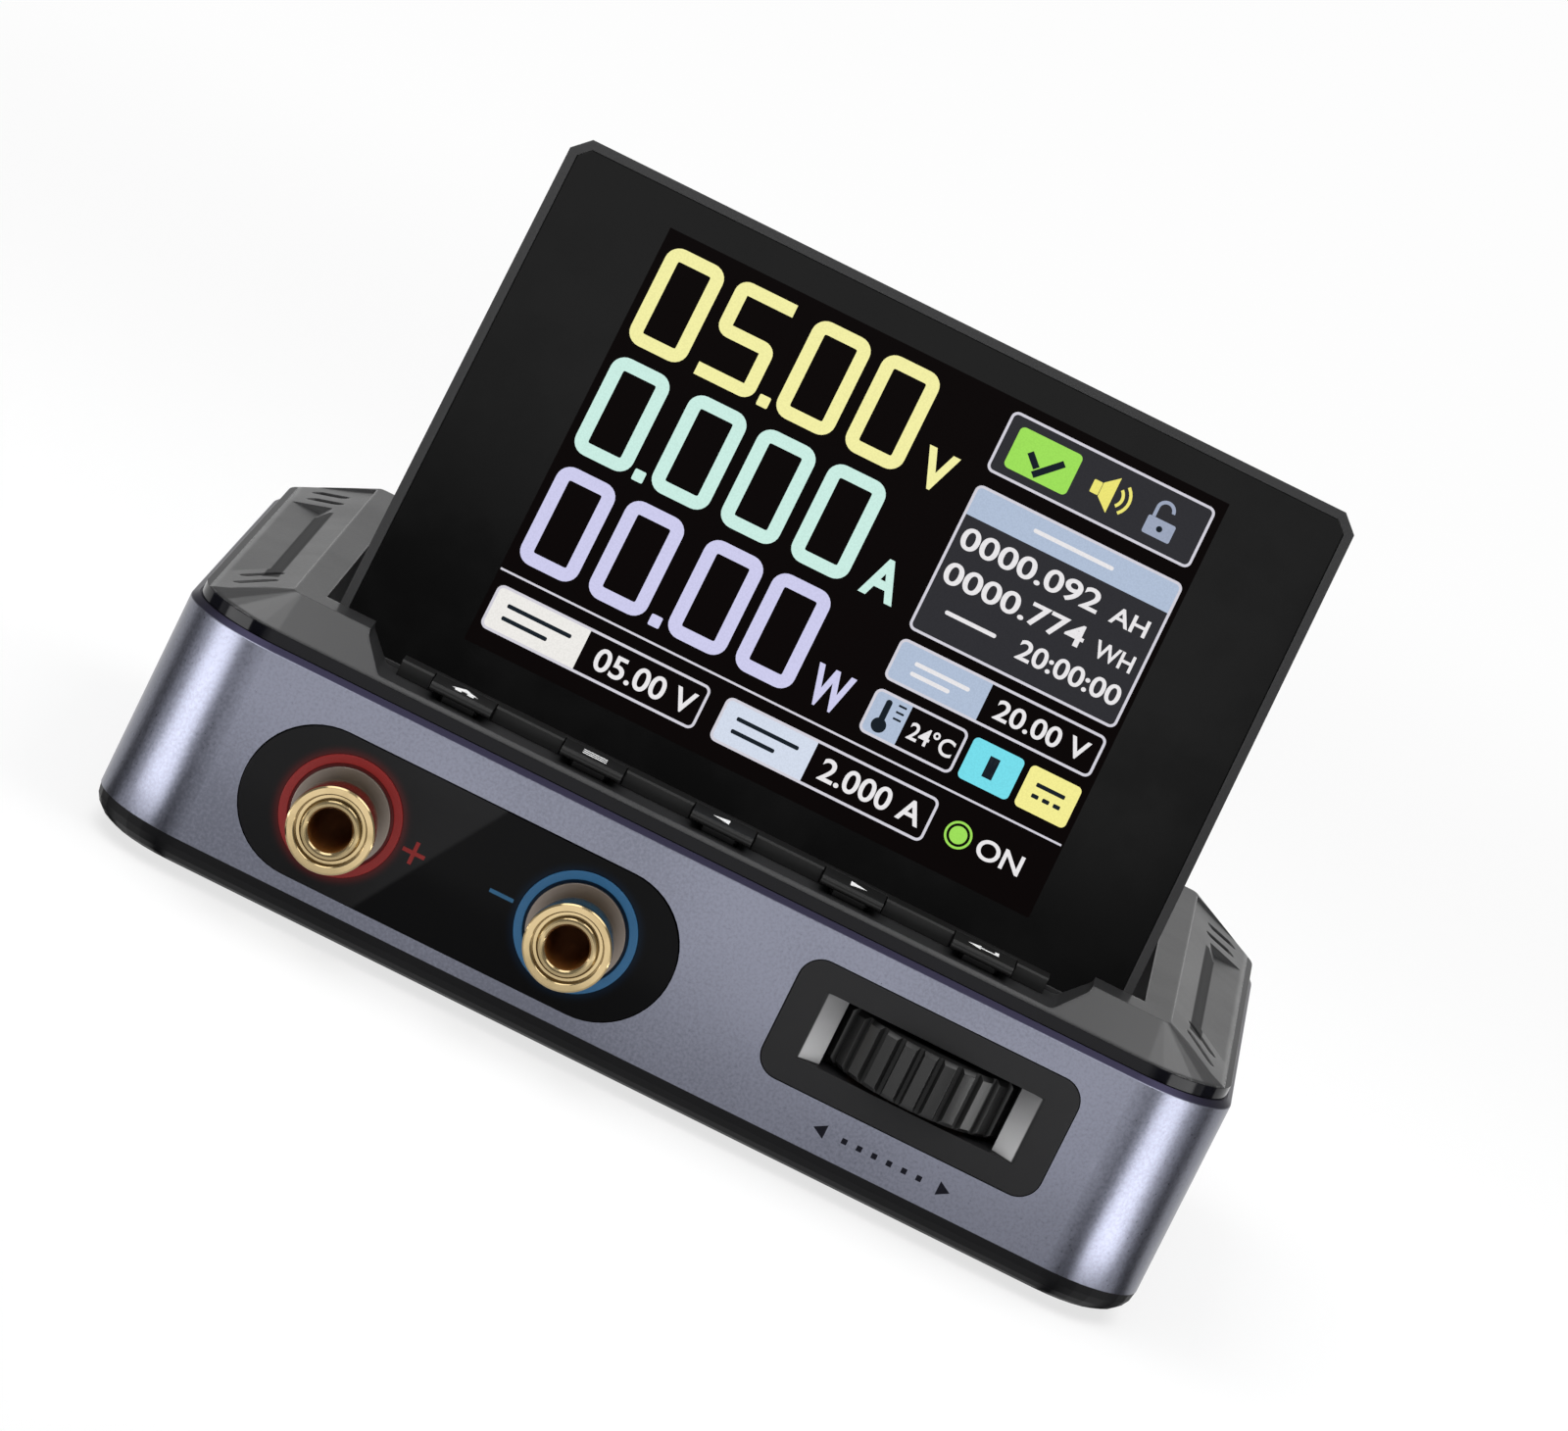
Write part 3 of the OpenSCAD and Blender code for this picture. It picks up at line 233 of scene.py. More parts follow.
def moulded(name, colour, rough, grain=0.00022, depth=0.000004, edge=0.00012,
            level=0.5, mottle=0.06, wear_and_highlight=0.0):
    """Moulded plastic: a spark-eroded grain, a faint cloud in the colour, and pale edges, partly worn
    plastic and partly a painted highlight along them.
    """
    pale_edge_width, pale_edge_gain = 0.00025, 3.2
    finish = Finish(name)
    cloud = finish.patches(0.012, 3, 0.3, 0.7)
    fine = finish.grain(grain, 3)
    base = finish.blend(cloud, shade(colour, 1 - mottle), shade(colour, 1 + mottle))
    dull = rough - 0.03 + 0.05 * cloud + 0.08 * (fine - 0.5)
    if wear_and_highlight:
        # Pale edges: partly rubbed and worn plastic, partly a painted highlight along the edges.
        uneven = 0.6 + 0.8 * (finish.grain(0.003, 3) - 0.2)
        worn_and_highlit = wear_and_highlight * finish.edges(pale_edge_width) * uneven
        base = finish.blend(worn_and_highlit, base, shade(colour, pale_edge_gain))
        dull = dull - 0.1 * worn_and_highlit
    finish.set(Base_Color=base, Roughness=dull, Normal=finish.relief(fine, depth, edge))
    return finish.shine(level)


def metal(name, colour, rough, grain, stretch=(1, 1, 1), tint=0.06):
    """Bare or plated metal: marks of its working, stretched along them, and softened edges."""
    finish = Finish(name)
    marks = finish.grain(grain, 4, stretch)
    cloud = finish.patches(0.006, 2, 0.3, 0.7)
    finish.set(
        Base_Color=finish.blend(cloud, shade(colour, 1 - tint), shade(colour, 1 + tint)),
        Roughness=rough + 0.1 * (marks - 0.5),
        Normal=finish.relief(marks, depth=0.000002, edge=0.0001),
        Metallic=1.0,
    )
    return finish


def blasted_aluminium():
    """Bead-blasted and anodised blue-grey: a fine even speckle of brighter and darker craters, with painted
    shade along the top bevel.
    """
    finish = Finish("blasted_aluminium")
    speckle = finish.grain(0.0002, 1)
    cloud = finish.patches(0.02, 2, 0.3, 0.7)
    worn = finish.patches(0.004, 4, 0.62, 0.8)
    mix = finish.step(0.75 * speckle + 0.25 * cloud, 0.25, 0.75)
    base = finish.blend(mix, tone(98, 100, 111), tone(116, 118, 131))
    finish.set(
        Base_Color=finish.blend(0.25 * worn, base, tone(125, 127, 140)),
        Roughness=0.3 + 0.1 * (speckle - 0.5) - 0.03 * worn,
        Normal=finish.relief(speckle, depth=0.0000012),
        Metallic=1.0,
    )
    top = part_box("aluminium_frame")[1].z
    # Painted shade: a dark violet line along the band's top bevel, just below the trim.
    bevel_tall, blur = 0.0005, 0.00008
    bevel = finish.step(finish.along("Z"), top - bevel_tall - blur, top - bevel_tall)
    return finish.over(bevel, tone(44, 42, 58), 0.4)


def case_finish():
    """The cover's moulded plastic, with painted shade on the steep inner walls of the hand recesses, darker
    and duller there.
    """
    finish = moulded("case_plastic_finish", tone(37, 37, 38), 0.32, edge=0.0004, wear_and_highlight=0.5)
    # Painted shade: a dark, dull band on the inner wall of each hand recess.
    wall_starts, wall_ends, wall_reach, blur = 0.0466, 0.0480, 0.0205, 0.0002
    out, along = finish.absolute(finish.along("X")), finish.absolute(finish.along("Y"))
    wall = finish.step(out, wall_starts, wall_starts + blur) * finish.fall(out, wall_ends, wall_ends + blur)
    wall = wall * finish.fall(along, wall_reach, wall_reach + blur)
    return finish.over(wall, tone(14, 14, 16), 0.8)


def jack_metal():
    """Gold-plated brass, with the fine rings of turning about each socket's axis, and painted light in the
    bores.
    """
    finish = Finish("jack_metal")
    low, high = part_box("positive_jack")
    other_low, other_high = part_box("negative_jack")
    middle, other = (low.x + high.x) / 2, (other_low.x + other_high.x) / 2
    socket_z = high.z - (high.x - low.x) / 2
    between = (middle + other) / 2
    second = finish.step(finish.along("X"), between - 0.001, between + 0.001)
    from_axis = finish.along("X") - middle - second * (other - middle)
    up = finish.along("Z") - socket_z
    radius = distance(from_axis, up)
    rings = finish.add("ShaderNodeTexNoise", {"noise_dimensions": "1D"}, {
        "W": 5000.0 * (radius + finish.along("Y")), "Scale": 1.0, "Detail": 1.0})
    dull = finish.patches(0.003, 3, 0.4, 0.75)
    # Painted light in the bore: the brass there is made a pale diffuse brown, lit-looking where little
    # light reaches.
    bore, blur = 0.00202, 0.0001
    painted_lit_bore = finish.fall(radius, bore, bore + blur)
    finish.set(
        Base_Color=finish.blend(dull, (0.37, 0.285, 0.155, 1), (0.29, 0.22, 0.11, 1)),
        Roughness=0.12 + 0.06 * rings + 0.06 * dull,
        Normal=finish.relief(rings, depth=0.0000001, edge=0.00008),
        Metallic=1.0 - 0.6 * painted_lit_bore,
    )
    return finish.over(painted_lit_bore, tone(150, 96, 44), 0.3)


def polished(name, colour, rough, level):
    """Polished black plastic or glass: almost flat, with a trace of haze and unevenness."""
    finish = Finish(name)
    haze = finish.patches(0.006, 3, 0.35, 0.75)
    finish.set(
        Base_Color=finish.blend(haze, colour, shade(colour, 1.25)),
        Roughness=rough + 0.05 * haze,
        Normal=finish.relief(finish.grain(0.004, 1), depth=0.0000004, edge=0.0001),
    )
    return finish.shine(level)


def terminal_finish():
    """The gloss plate: a painted reflection, paler on the left up to a slanted edge, and painted light from
    the rings on it.
    """
    finish = Finish("terminal_finish")
    low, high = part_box("terminal_plate")
    centre = (low + high) / 2
    # Painted reflection: the left part of the plate is paler up to an edge on a slant, and half as pale
    # further left.
    reflection_edge_left, reflection_edge_slope, blur = 0.0029, 0.62, 0.0003
    across = finish.along("X") - (centre.x - reflection_edge_left)
    up = finish.along("Z") - centre.z
    left = finish.fall(across - reflection_edge_slope * up, -blur, blur)
    haze = finish.grain(0.005, 2)
    pale = left * finish.step(across, -0.02, 0.0, 0.5, 1.0)
    # Painted light: a glow of each ring's colour on the plate around it.
    near_ring = []
    for ring in ("red_ring", "blue_ring"):
        ring_low, ring_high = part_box(ring)
        edge = (ring_high.x - ring_low.x) / 2
        x = finish.along("X") - (ring_low.x + ring_high.x) / 2
        z = finish.along("Z") - (ring_low.z + ring_high.z) / 2
        near_ring.append(finish.fall(distance(x, z), edge - 0.0001, edge + 0.0012) ** 2.0)
    glow = finish.blend(near_ring[0], BLACK, tone(120, 22, 20))
    glow = finish.blend(0.6 * near_ring[1], glow, tone(14, 50, 80))
    finish.set(
        Base_Color=finish.blend(pale, tone(6, 6, 7), tone(31, 31, 32)),
        Roughness=0.10 + 0.06 * haze,
        Normal=finish.relief(haze, depth=0.0000003, edge=0.0001),
    )
    return finish.glow(glow, 0.25).shine(0.045)


def wheel_plate_finish():
    """Satin black plastic, with painted light on the two thumb ramps at the slot's ends, paler towards the
    bottom.
    """
    finish = moulded("wheel_plate_finish", tone(32, 32, 33), 0.5, level=0.15)
    low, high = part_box("wheel_plate")
    centre = (low + high) / 2
    up, across = finish.along("Z") - centre.z, finish.along("X") - centre.x
    half_tall, half_long = 0.0032, 0.0110
    behind = finish.step(finish.along("Y"), low.y + 0.0001, low.y + 0.0002)
    between = finish.fall(finish.absolute(up), half_tall, half_tall + 0.00013)
    inside = finish.fall(finish.absolute(across), half_long, half_long + 0.0002)
    # Painted light on the ramps, paler towards their bottom.
    painted_lit_ramp = finish.blend(finish.fall(up, -0.003, 0.003), tone(112, 112, 113), tone(172, 172, 173))
    return finish.over(behind * between * inside, painted_lit_ramp, 0.3)


def wheel_rubber():
    """Hard rubber of the thumb wheel: matt and darker in the grooves, paler and smoother on the ribs."""
    finish = Finish("wheel_rubber_finish")
    low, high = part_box("thumb_wheel")
    centre = (low + high) / 2
    out = (high.x - low.x) / 2
    radius = distance(finish.along("X") - centre.x, finish.along("Y") - centre.y)
    worn = finish.step(radius, out - 0.0004, out - 0.0001)
    fine = finish.grain(0.0002, 3)
    finish.set(
        Base_Color=finish.blend(worn, tone(11, 11, 11), tone(26, 26, 26)),
        Roughness=0.6 - 0.3 * worn + 0.08 * (fine - 0.5),
        Normal=finish.relief(fine, depth=0.000005, edge=0.00008),
    )
    return finish.shine(0.3)


def circuit_board():
    """Green solder resist, paler where copper lies under it, darker over bare laminate."""
    finish = Finish("circuit_board_finish")
    tracks = finish.step(finish.add("ShaderNodeTexBrick", {}, {
        "Vector": finish.place(), "Scale": 90.0, "Mortar Size": 0.012}, out="Fac"), 0.2, 0.8)
    weave = finish.grain(0.0006, 3)
    finish.set(
        Base_Color=finish.blend(tracks, (0.012, 0.10, 0.045, 1), (0.03, 0.19, 0.08, 1)),
        Roughness=0.32 + 0.12 * weave,
        Normal=finish.relief(weave, depth=0.000006, edge=0.0001),
    )
    return finish


def capacitor_finish():
    """A row of four aluminium cans, each with a dark band down one side."""
    finish = Finish("capacitor_finish")
    low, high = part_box("capacitors")
    can = high.y - low.y
    pitch = (high.x - low.x - can) / 3
    on_can = finish.add("ShaderNodeMath", {"operation": "MODULO"}, {0: finish.along("X") - low.x, 1: pitch})
    band = finish.step(on_can, 0.68 * can, 0.7 * can)
    marks = finish.grain(0.0008, 3, (1, 1, 0.05))
    finish.set(
        Base_Color=finish.blend(band, (0.55, 0.56, 0.6, 1), (0.03, 0.03, 0.06, 1)),
        Roughness=0.32 + 0.1 * marks,
        Metallic=0.9 - 0.6 * band,
        Normal=finish.relief(marks, depth=0.000004, edge=0.0001),
    )
    return finish


def lit(name, colour):
    """Light from the screen, seen through the cover glass, with the pixel cells just visible."""
    finish = Finish(name)
    cells = finish.add("ShaderNodeTexVoronoi", {}, {"Vector": finish.place(), "Scale": 6000.0})
    finish.set(Base_Color=BLACK, Roughness=0.2 + 0.03 * cells)
    light = finish.blend(finish.step(cells, 0.2, 0.8), colour, shade(colour, 0.93))
    return finish.glow(light, 1.0).shine(0.015)


def ring_plastic(name, colour):
    """Coloured plastic of the sockets' rings, which glows a little."""
    return moulded(name, colour, 0.35, depth=0.000002, level=0.2).glow(colour, 0.25)


def ink(name, colour, rough=0.5):
    """Printing ink, a little uneven."""
    finish = Finish(name)
    uneven = finish.grain(0.0002, 2)
    finish.set(
        Base_Color=finish.blend(uneven, shade(colour, 0.9), shade(colour, 1.1)),
        Roughness=rough + 0.1 * (uneven - 0.5),
        Normal=finish.relief(uneven, depth=0.000002),
    )
    return finish.shine(0.15)


def make_finishes():
    return {
        "anodised_aluminium": blasted_aluminium(),
        "case_plastic": case_finish(),
        "floor_plastic": moulded("floor_plastic_finish", tone(15, 15, 17), 0.45, level=0.12),
        "gloss_trim": polished("gloss_trim_finish", tone(8, 8, 12), 0.08, 0.11),
        "terminal_gloss": terminal_finish(),
        "wheel_plate_plastic": wheel_plate_finish(),
        "wheel_rubber": wheel_rubber(),
        "key_plastic": moulded("key_plastic_finish", tone(20, 20, 20), 0.36, level=0.25, wear_and_highlight=0.4),
        "foot_rubber": moulded("foot_rubber_finish", tone(26, 26, 26), 0.75, grain=0.0004, depth=0.00001),
        "red_plastic": ring_plastic("red_plastic_finish", tone(112, 26, 25)),
        "blue_plastic": ring_plastic("blue_plastic_finish", tone(38, 84, 120)),
        "brass": jack_metal(),
        "washer_steel": metal("washer_steel_finish", tone(128, 119, 112), 0.4, 0.0002, tint=0.02),
        "steel": metal("steel_finish", tone(190, 190, 192), 0.28, 0.0006, (1, 1, 0.1)),
        "black_plastic": moulded("black_plastic_finish", tone(22, 22, 23), 0.4, level=0.3, wear_and_highlight=0.4),
        "display_plastic": moulded("display_plastic_finish", tone(26, 26, 27), 0.34, level=0.35, wear_and_highlight=0.5),
        "display_glass": polished("display_glass_finish", tone(3, 3, 3), 0.08, 0.08),
        "screen_metal": metal("screen_metal_finish", tone(190, 190, 190), 0.35, 0.002, (1, 0.1, 1)),
        "circuit_board": circuit_board(),
        "sink_aluminium": metal("sink_aluminium_finish", tone(200, 200, 202), 0.4, 0.001, (1, 0.05, 1)),
        "ferrite": moulded(
            "ferrite_finish", tone(60, 60, 62), 0.6, grain=0.0004, depth=0.00002, mottle=0.12),
        "capacitor_sleeve": capacitor_finish(),
        "copper": metal("copper_finish", (0.72, 0.36, 0.2, 1), 0.3, 0.0006, (0.1, 1, 1)),
        "white_plastic": moulded("white_plastic_finish", tone(215, 215, 208), 0.45),
    }


def dress_nodes(finishes):
    """Each CAD node takes the finish of the material slot that the record gives it."""
    for node in nodes.values():
        slot = node.data.materials[0].name.split(".")[0]
        if slot not in finishes:
            raise RuntimeError("no finish for slot " + slot + " of " + node.name)
        for place in range(len(node.data.materials)):
            node.data.materials[place] = finishes[slot].material


# Flat signs, modelled in millimetres on the table and then carried to their place

SIGN_THICK = 0.012
SAME_PLACE = 0.002  # corners closer than this to a wanted place are taken for it
BEND_SEGMENTS = 6
ALL_CORNERS = ((0, 0), (0, 1), (1, 0), (1, 1))
LEFT_CORNERS = ((0, 0), (0, 1))
TOP_CORNERS = ((0, 1), (1, 1))


def mark(piece, test):
    """In edit mode with only those corners of the piece selected that pass the test."""
    pick(piece)
    for part in (piece.data.vertices, piece.data.edges, piece.data.polygons):
        part.foreach_set("select", [False] * len(part))
    for corner in piece.data.vertices:
        corner.select = test(corner.co)
    bpy.context.tool_settings.mesh_select_mode = (True, False, False)
    bpy.ops.object.mode_set(mode="EDIT")


def all_marked(piece):
    mark(piece, lambda at: True)
    bpy.ops.mesh.select_all(action="SELECT")


def leave():
    bpy.ops.object.mode_set(mode="OBJECT")


def plate(x0, y0, x1, y1, radius=0.0, corners=ALL_CORNERS, turn=0.0):
    """A flat plate with those of its corners rounded, each named as (right, top)."""
    clear_selection()
    middle = ((x0 + x1) / 2, (y0 + y1) / 2, 0)
    bpy.ops.mesh.primitive_plane_add(size=1, location=middle, rotation=(0, 0, math.radians(turn)))
    piece = bpy.context.object
    piece.scale = (x1 - x0, y1 - y0, 1)
    bpy.ops.object.transform_apply(location=True, rotation=True, scale=True)
    if radius:
        wanted = [(x1 if right else x0, y1 if top else y0) for right, top in corners]
        round_corners(piece, wanted, radius)
    return piece


def round_corners(piece, wanted, radius):
    mark(piece, lambda at: any(abs(at.x - x) + abs(at.y - y) < SAME_PLACE for x, y in wanted))
    bpy.ops.mesh.bevel(offset=radius, offset_type="OFFSET", segments=BEND_SEGMENTS, affect="VERTICES")
    leave()


def disc(x, y, radius, sides=32, turn=0.0, squeeze=1.0):
    """A filled round, or with three sides a triangle that points along its turn."""
    clear_selection()
    bpy.ops.mesh.primitive_circle_add(
        vertices=sides, radius=radius, fill_type="NGON", location=(x, y, 0),
        rotation=(0, 0, math.radians(turn - 90)))
    piece = bpy.context.object
    piece.scale = (squeeze, 1, 1)
    bpy.ops.object.transform_apply(location=True, rotation=True, scale=True)
    return piece


def hollow(piece, rim):
    """Leaves only a rim of the plate or disc."""
    all_marked(piece)
    bpy.ops.mesh.inset(thickness=rim, depth=0)
    bpy.ops.mesh.delete(type="FACE")
    leave()
    return piece


def slice_at(piece, point, way, drop=False):
    """Cuts the piece along a line, and drops what lies on the side that way points to."""
    all_marked(piece)
    bpy.ops.mesh.bisect(plane_co=(*point, 0), plane_no=(*way, 0), clear_outer=drop)
    leave()
    return piece


def drop_cells(piece, test):
    """Deletes those faces of the piece whose middle passes the test."""
    pick(piece)
    for part in (piece.data.vertices, piece.data.edges):
        part.foreach_set("select", [False] * len(part))
    for face in piece.data.polygons:
        face.select = test(face.center)
    bpy.context.tool_settings.mesh_select_mode = (False, False, True)
    bpy.ops.object.mode_set(mode="EDIT")
    bpy.ops.mesh.delete(type="FACE")
    leave()


def copied(piece, across, up):
    """A copy with a mesh of its own, moved over the table."""
    pick(piece)
    bpy.ops.object.duplicate(linked=False)
    copy = bpy.context.object
    bpy.ops.transform.translate(value=(across, up, 0))
    bpy.ops.object.transform_apply(location=True, rotation=True, scale=True)
    return copy


def row(piece, count, across, up):
    """The piece and its copies, one step on from each other."""
    return [piece] + [copied(piece, i * across, i * up) for i in range(1, count)]


def fuse(pieces):
    clear_selection()
    for piece in pieces:
        piece.select_set(True)
    bpy.context.view_layer.objects.active = pieces[0]
    if len(pieces) > 1:
        bpy.ops.object.join()
    return bpy.context.object


def fit_in(piece, x0, y0, x1, y1):
    """Stretches a piece to fill a box exactly."""
    pick(piece)
    across = [v.co.x for v in piece.data.vertices]
    up = [v.co.y for v in piece.data.vertices]
    stretch = ((x1 - x0) / (max(across) - min(across)), (y1 - y0) / (max(up) - min(up)), 1, 1)
    piece.matrix_world = (
        Matrix.Translation((x0, y0, 0)) @ Matrix.Diagonal(stretch)
        @ Matrix.Translation((-min(across), -min(up), 0))
    )
    bpy.ops.object.transform_apply(location=True, rotation=True, scale=True)
    return piece


def written(text, x0, y0, x1, y1, heavy=0.05):
    """Figures and unit letters in the built-in typeface."""
    clear_selection()
    bpy.ops.object.text_add()
    piece = bpy.context.object
    piece.data.body = text
    piece.data.size = 3
    piece.data.offset = heavy
    pick(piece)
    bpy.ops.object.convert(target="MESH")
    piece = bpy.context.object
    all_marked(piece)
    bpy.ops.mesh.remove_doubles(threshold=0.0004)
    leave()
    return fit_in(piece, x0, y0, x1, y1)


def settle(name, pieces, placing, height, finish, body):
    """Gives a sign its thickness, its place and its finish, and lets it ride on a body."""
    piece = fuse(pieces)
    piece.name = name
    piece.data.name = name
    wall = piece.modifiers.new("thickness", "SOLIDIFY")
    wall.thickness = SIGN_THICK
    wall.offset = 1.0
    bpy.ops.object.modifier_apply(modifier=wall.name)
    piece.matrix_world = placing @ Matrix.Translation((0, 0, height))
    bpy.ops.object.transform_apply(location=True, rotation=True, scale=True)
    piece.data.materials.clear()
    piece.data.materials.append(finish.material)
    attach(piece, body)


# Lit screen, in millimetres from its lower left corner

SCREEN_WIDE, SCREEN_HIGH = 57.6, 43.2
SCREEN_UP, SCREEN_OUT = 4.8, 4.0  # from the hinge's axis to the screen's lower edge and to the glass's face
LAYER = 0.014  # from one layer of signs up to the next
FIGURE_WIDE, FIGURE_TALL, FIGURE_BAR = 5.87, 10.12, 1.27
BOX_BEND, BOX_RIM, TAG_BEND = 0.7, 0.26, 0.5

SCREEN_COLOURS = {
    "black": (9, 5, 5),
    "panel": (48, 48, 52),
    "yellow": (246, 242, 168),
    "mint": (205, 240, 230),
    "violet": (208, 207, 240),
    "outline": (212, 210, 220),
    "white": (240, 238, 234),
    "blue": (213, 222, 238),
    "steel": (178, 193, 216),
    "text": (236, 234, 236),
    "green": (160, 226, 92),
    "cyan": (120, 224, 238),
    "lemon": (247, 240, 150),
    "deep": (24, 32, 40),
    "sound": (240, 232, 120),
    "lock": (158, 168, 190),
}
BOXES = {
    "status": (35.9, 35.9, 56.8, 42.2),
    "energy": (35.9, 19.3, 57.1, 34.45),
    "input": (35.9, 14.1, 57.0, 18.35),
    "heat": (35.9, 8.65, 45.35, 13.15),
    "volts_set": (0.65, 1.7, 22.4, 6.15),
    "amps_set": (24.0, 1.75, 45.7, 6.2),
}
WORDS = (
    ("05.00 V", 11.5, 2.75, 21.6, 5.0),
    ("2.000 A", 34.5, 2.85, 44.8, 5.1),
    ("20.00 V", 46.5, 15.2, 55.9, 17.2),
    ("24°C", 40.2, 9.95, 44.7, 11.75),
    ("0000.092", 36.7, 28.2, 50.9, 30.4),
    ("AH", 52.2, 28.2, 55.9, 29.9),
    ("0000.774", 36.7, 24.6, 51.0, 26.8),
    ("WH", 52.2, 24.6, 56.1, 26.3),
    ("20:00:00", 45.9, 21.2, 56.3, 23.2),
    ("ON", 50.5, 2.9, 55.0, 4.9),
)


def naught():
    return hollow(plate(0, 0, FIGURE_WIDE, FIGURE_TALL, 1.42), FIGURE_BAR)


def five():
    """A plate cut into cells, some of them taken out, with its outer bends rounded."""
    wide, tall, bar = FIGURE_WIDE, FIGURE_TALL, FIGURE_BAR
    middle = tall / 2
    piece = plate(0, 0, wide, tall)
    for cut in (bar, wide - bar):
        slice_at(piece, (cut, 0), (1, 0))
    for cut in (bar, middle - bar / 2, middle + bar / 2, tall - bar):
        slice_at(piece, (0, cut), (0, 1))

    def empty(at):
        in_upper = middle + bar / 2 < at.y < tall - bar
        in_lower = bar < at.y < middle - bar / 2
        return (in_upper and at.x > bar) or (in_lower and at.x < wide - bar)

    drop_cells(piece, empty)
    round_corners(piece, [(0, tall), (wide, middle + bar / 2), (wide, 0), (0, middle - bar / 2)], 1.24)
    return piece


def reading(text, starts, y, figures):
    """A row of big figures, with the point before the figure that follows it."""
    pieces = [copied(figures[kind], x, y) for kind, x in zip(text.replace(".", ""), starts)]
    point, right = 1.12, starts[text.index(".")] - 0.5
    return pieces + [plate(right - point, y, right, y + point, 0.15)]


def light_screen():
    """Every lit piece, as the display stands in the rest pose: tilted open by its whole range."""
    tilt = next(j for j in frame["joints"] if j["name"] == "display_tilt")
    opened = math.radians(-tilt["range_deg"][0])
    placing = (
        Matrix.Translation(Vector(tilt["pos_m"])) @ Matrix.Rotation(opened, 4, "X") @ Matrix.Scale(0.001, 4)
        @ Matrix.Translation((-SCREEN_WIDE / 2, SCREEN_UP, SCREEN_OUT))
    )
    light = {name: lit("screen_" + name, tone(*colour)) for name, colour in SCREEN_COLOURS.items()}

    def show(name, pieces, layer, colour):
        settle(name, pieces, placing, LAYER * layer, light[colour], "display")

    show_readings(show)
    show_boxes(show)
    show_signs(show)


def show_readings(show):
    """The three big values with their units, on the dark screen."""
    figures = {"0": naught(), "5": five()}
    show("volts_figures", reading("05.00", (0.8, 7.9, 15.9, 23.0), 31.8, figures), 1, "yellow")
    show("amps_figures", reading("0.000", (0.8, 8.7, 15.8, 23.0), 20.3, figures), 1, "mint")
    show("watts_figures", reading("00.00", (0.85, 7.9, 16.0, 22.9), 8.8, figures), 1, "violet")
    for pattern in figures.values():
        pick(pattern)
        bpy.ops.object.delete()
    show("screen_area", [divided(plate(0, 0, SCREEN_WIDE, SCREEN_HIGH))], 0, "black")
    show("volts_unit", [written("V", 30.35, 31.8, 33.55, 35.7, 0.1)], 1, "yellow")
    show("amps_unit", [written("A", 30.3, 20.35, 33.75, 24.35, 0.1)], 1, "mint")
    show("watts_unit", [written("W", 30.15, 8.9, 33.95, 12.8, 0.1)], 1, "violet")


def show_boxes(show):
    """Outlined boxes with their tags, small values, and plain bars in place of words."""
    show("panel_fills", [plate(*BOXES[name], BOX_BEND) for name in ("status", "energy")], 1, "panel")
    rims = [hollow(plate(*box, BOX_BEND), BOX_RIM) for box in BOXES.values()]
    show("box_outlines", rims + [plate(0.1, 7.3, 57.4, 7.5, 0.05)], 3, "outline")
    show("volts_set_tag", [plate(0.85, 1.9, 10.1, 5.95, TAG_BEND, LEFT_CORNERS)], 2, "white")
    show("amps_set_tag", [plate(24.2, 1.95, 33.3, 6.0, TAG_BEND, LEFT_CORNERS)], 2, "blue")
    tags = [
        plate(36.1, 31.35, 56.9, 34.25, TAG_BEND, TOP_CORNERS),
        plate(36.1, 14.3, 45.3, 18.15, TAG_BEND, LEFT_CORNERS),
        plate(36.1, 8.85, 39.6, 12.95, TAG_BEND, LEFT_CORNERS),
    ]
    show("steel_tags", tags, 2, "steel")
    show("small_figures", [written(*word) for word in WORDS], 3, "text")
    bars = (
        (42.4, 32.6, 50.6, 33.0), (38.0, 16.4, 43.6, 16.8),
        (38.0, 15.4, 42.0, 15.8), (38.4, 22.0, 43.6, 22.4))
    show("pale_bars", [plate(*bar, 0.19) for bar in bars], 3, "text")


def show_signs(show):
    """Badges and the small signs on them, the speaker, the padlock and the run light."""
    show("green_badge", [plate(37.2, 36.95, 43.6, 41.15, TAG_BEND)], 2, "green")
    show("cyan_badge", [plate(45.95, 8.85, 51.1, 13.05, TAG_BEND)], 2, "cyan")
    show("yellow_badge", [plate(51.75, 8.85, 56.95, 13.05, TAG_BEND)], 2, "lemon")
    show("dark_signs", dark_signs(), 3, "deep")
    show("thermometer_bulb", [disc(37.5, 9.9, 0.72)], 4, "deep")
    show("speaker_sign", speaker(), 3, "sound")
    show("padlock_sign", padlock(), 3, "lock")
    show("padlock_hole", [disc(52.75, 38.1, 0.3, 16)], 4, "deep")
    show("run_light", [disc(48.5, 4.0, 0.85), hollow(disc(48.5, 4.0, 1.32), 0.22)], 2, "green")


def divided(piece):
    """The same plate with its face divided, so that its shading stays even."""
    all_marked(piece)
    bpy.ops.mesh.subdivide(number_cuts=3)
    leave()
    return piece


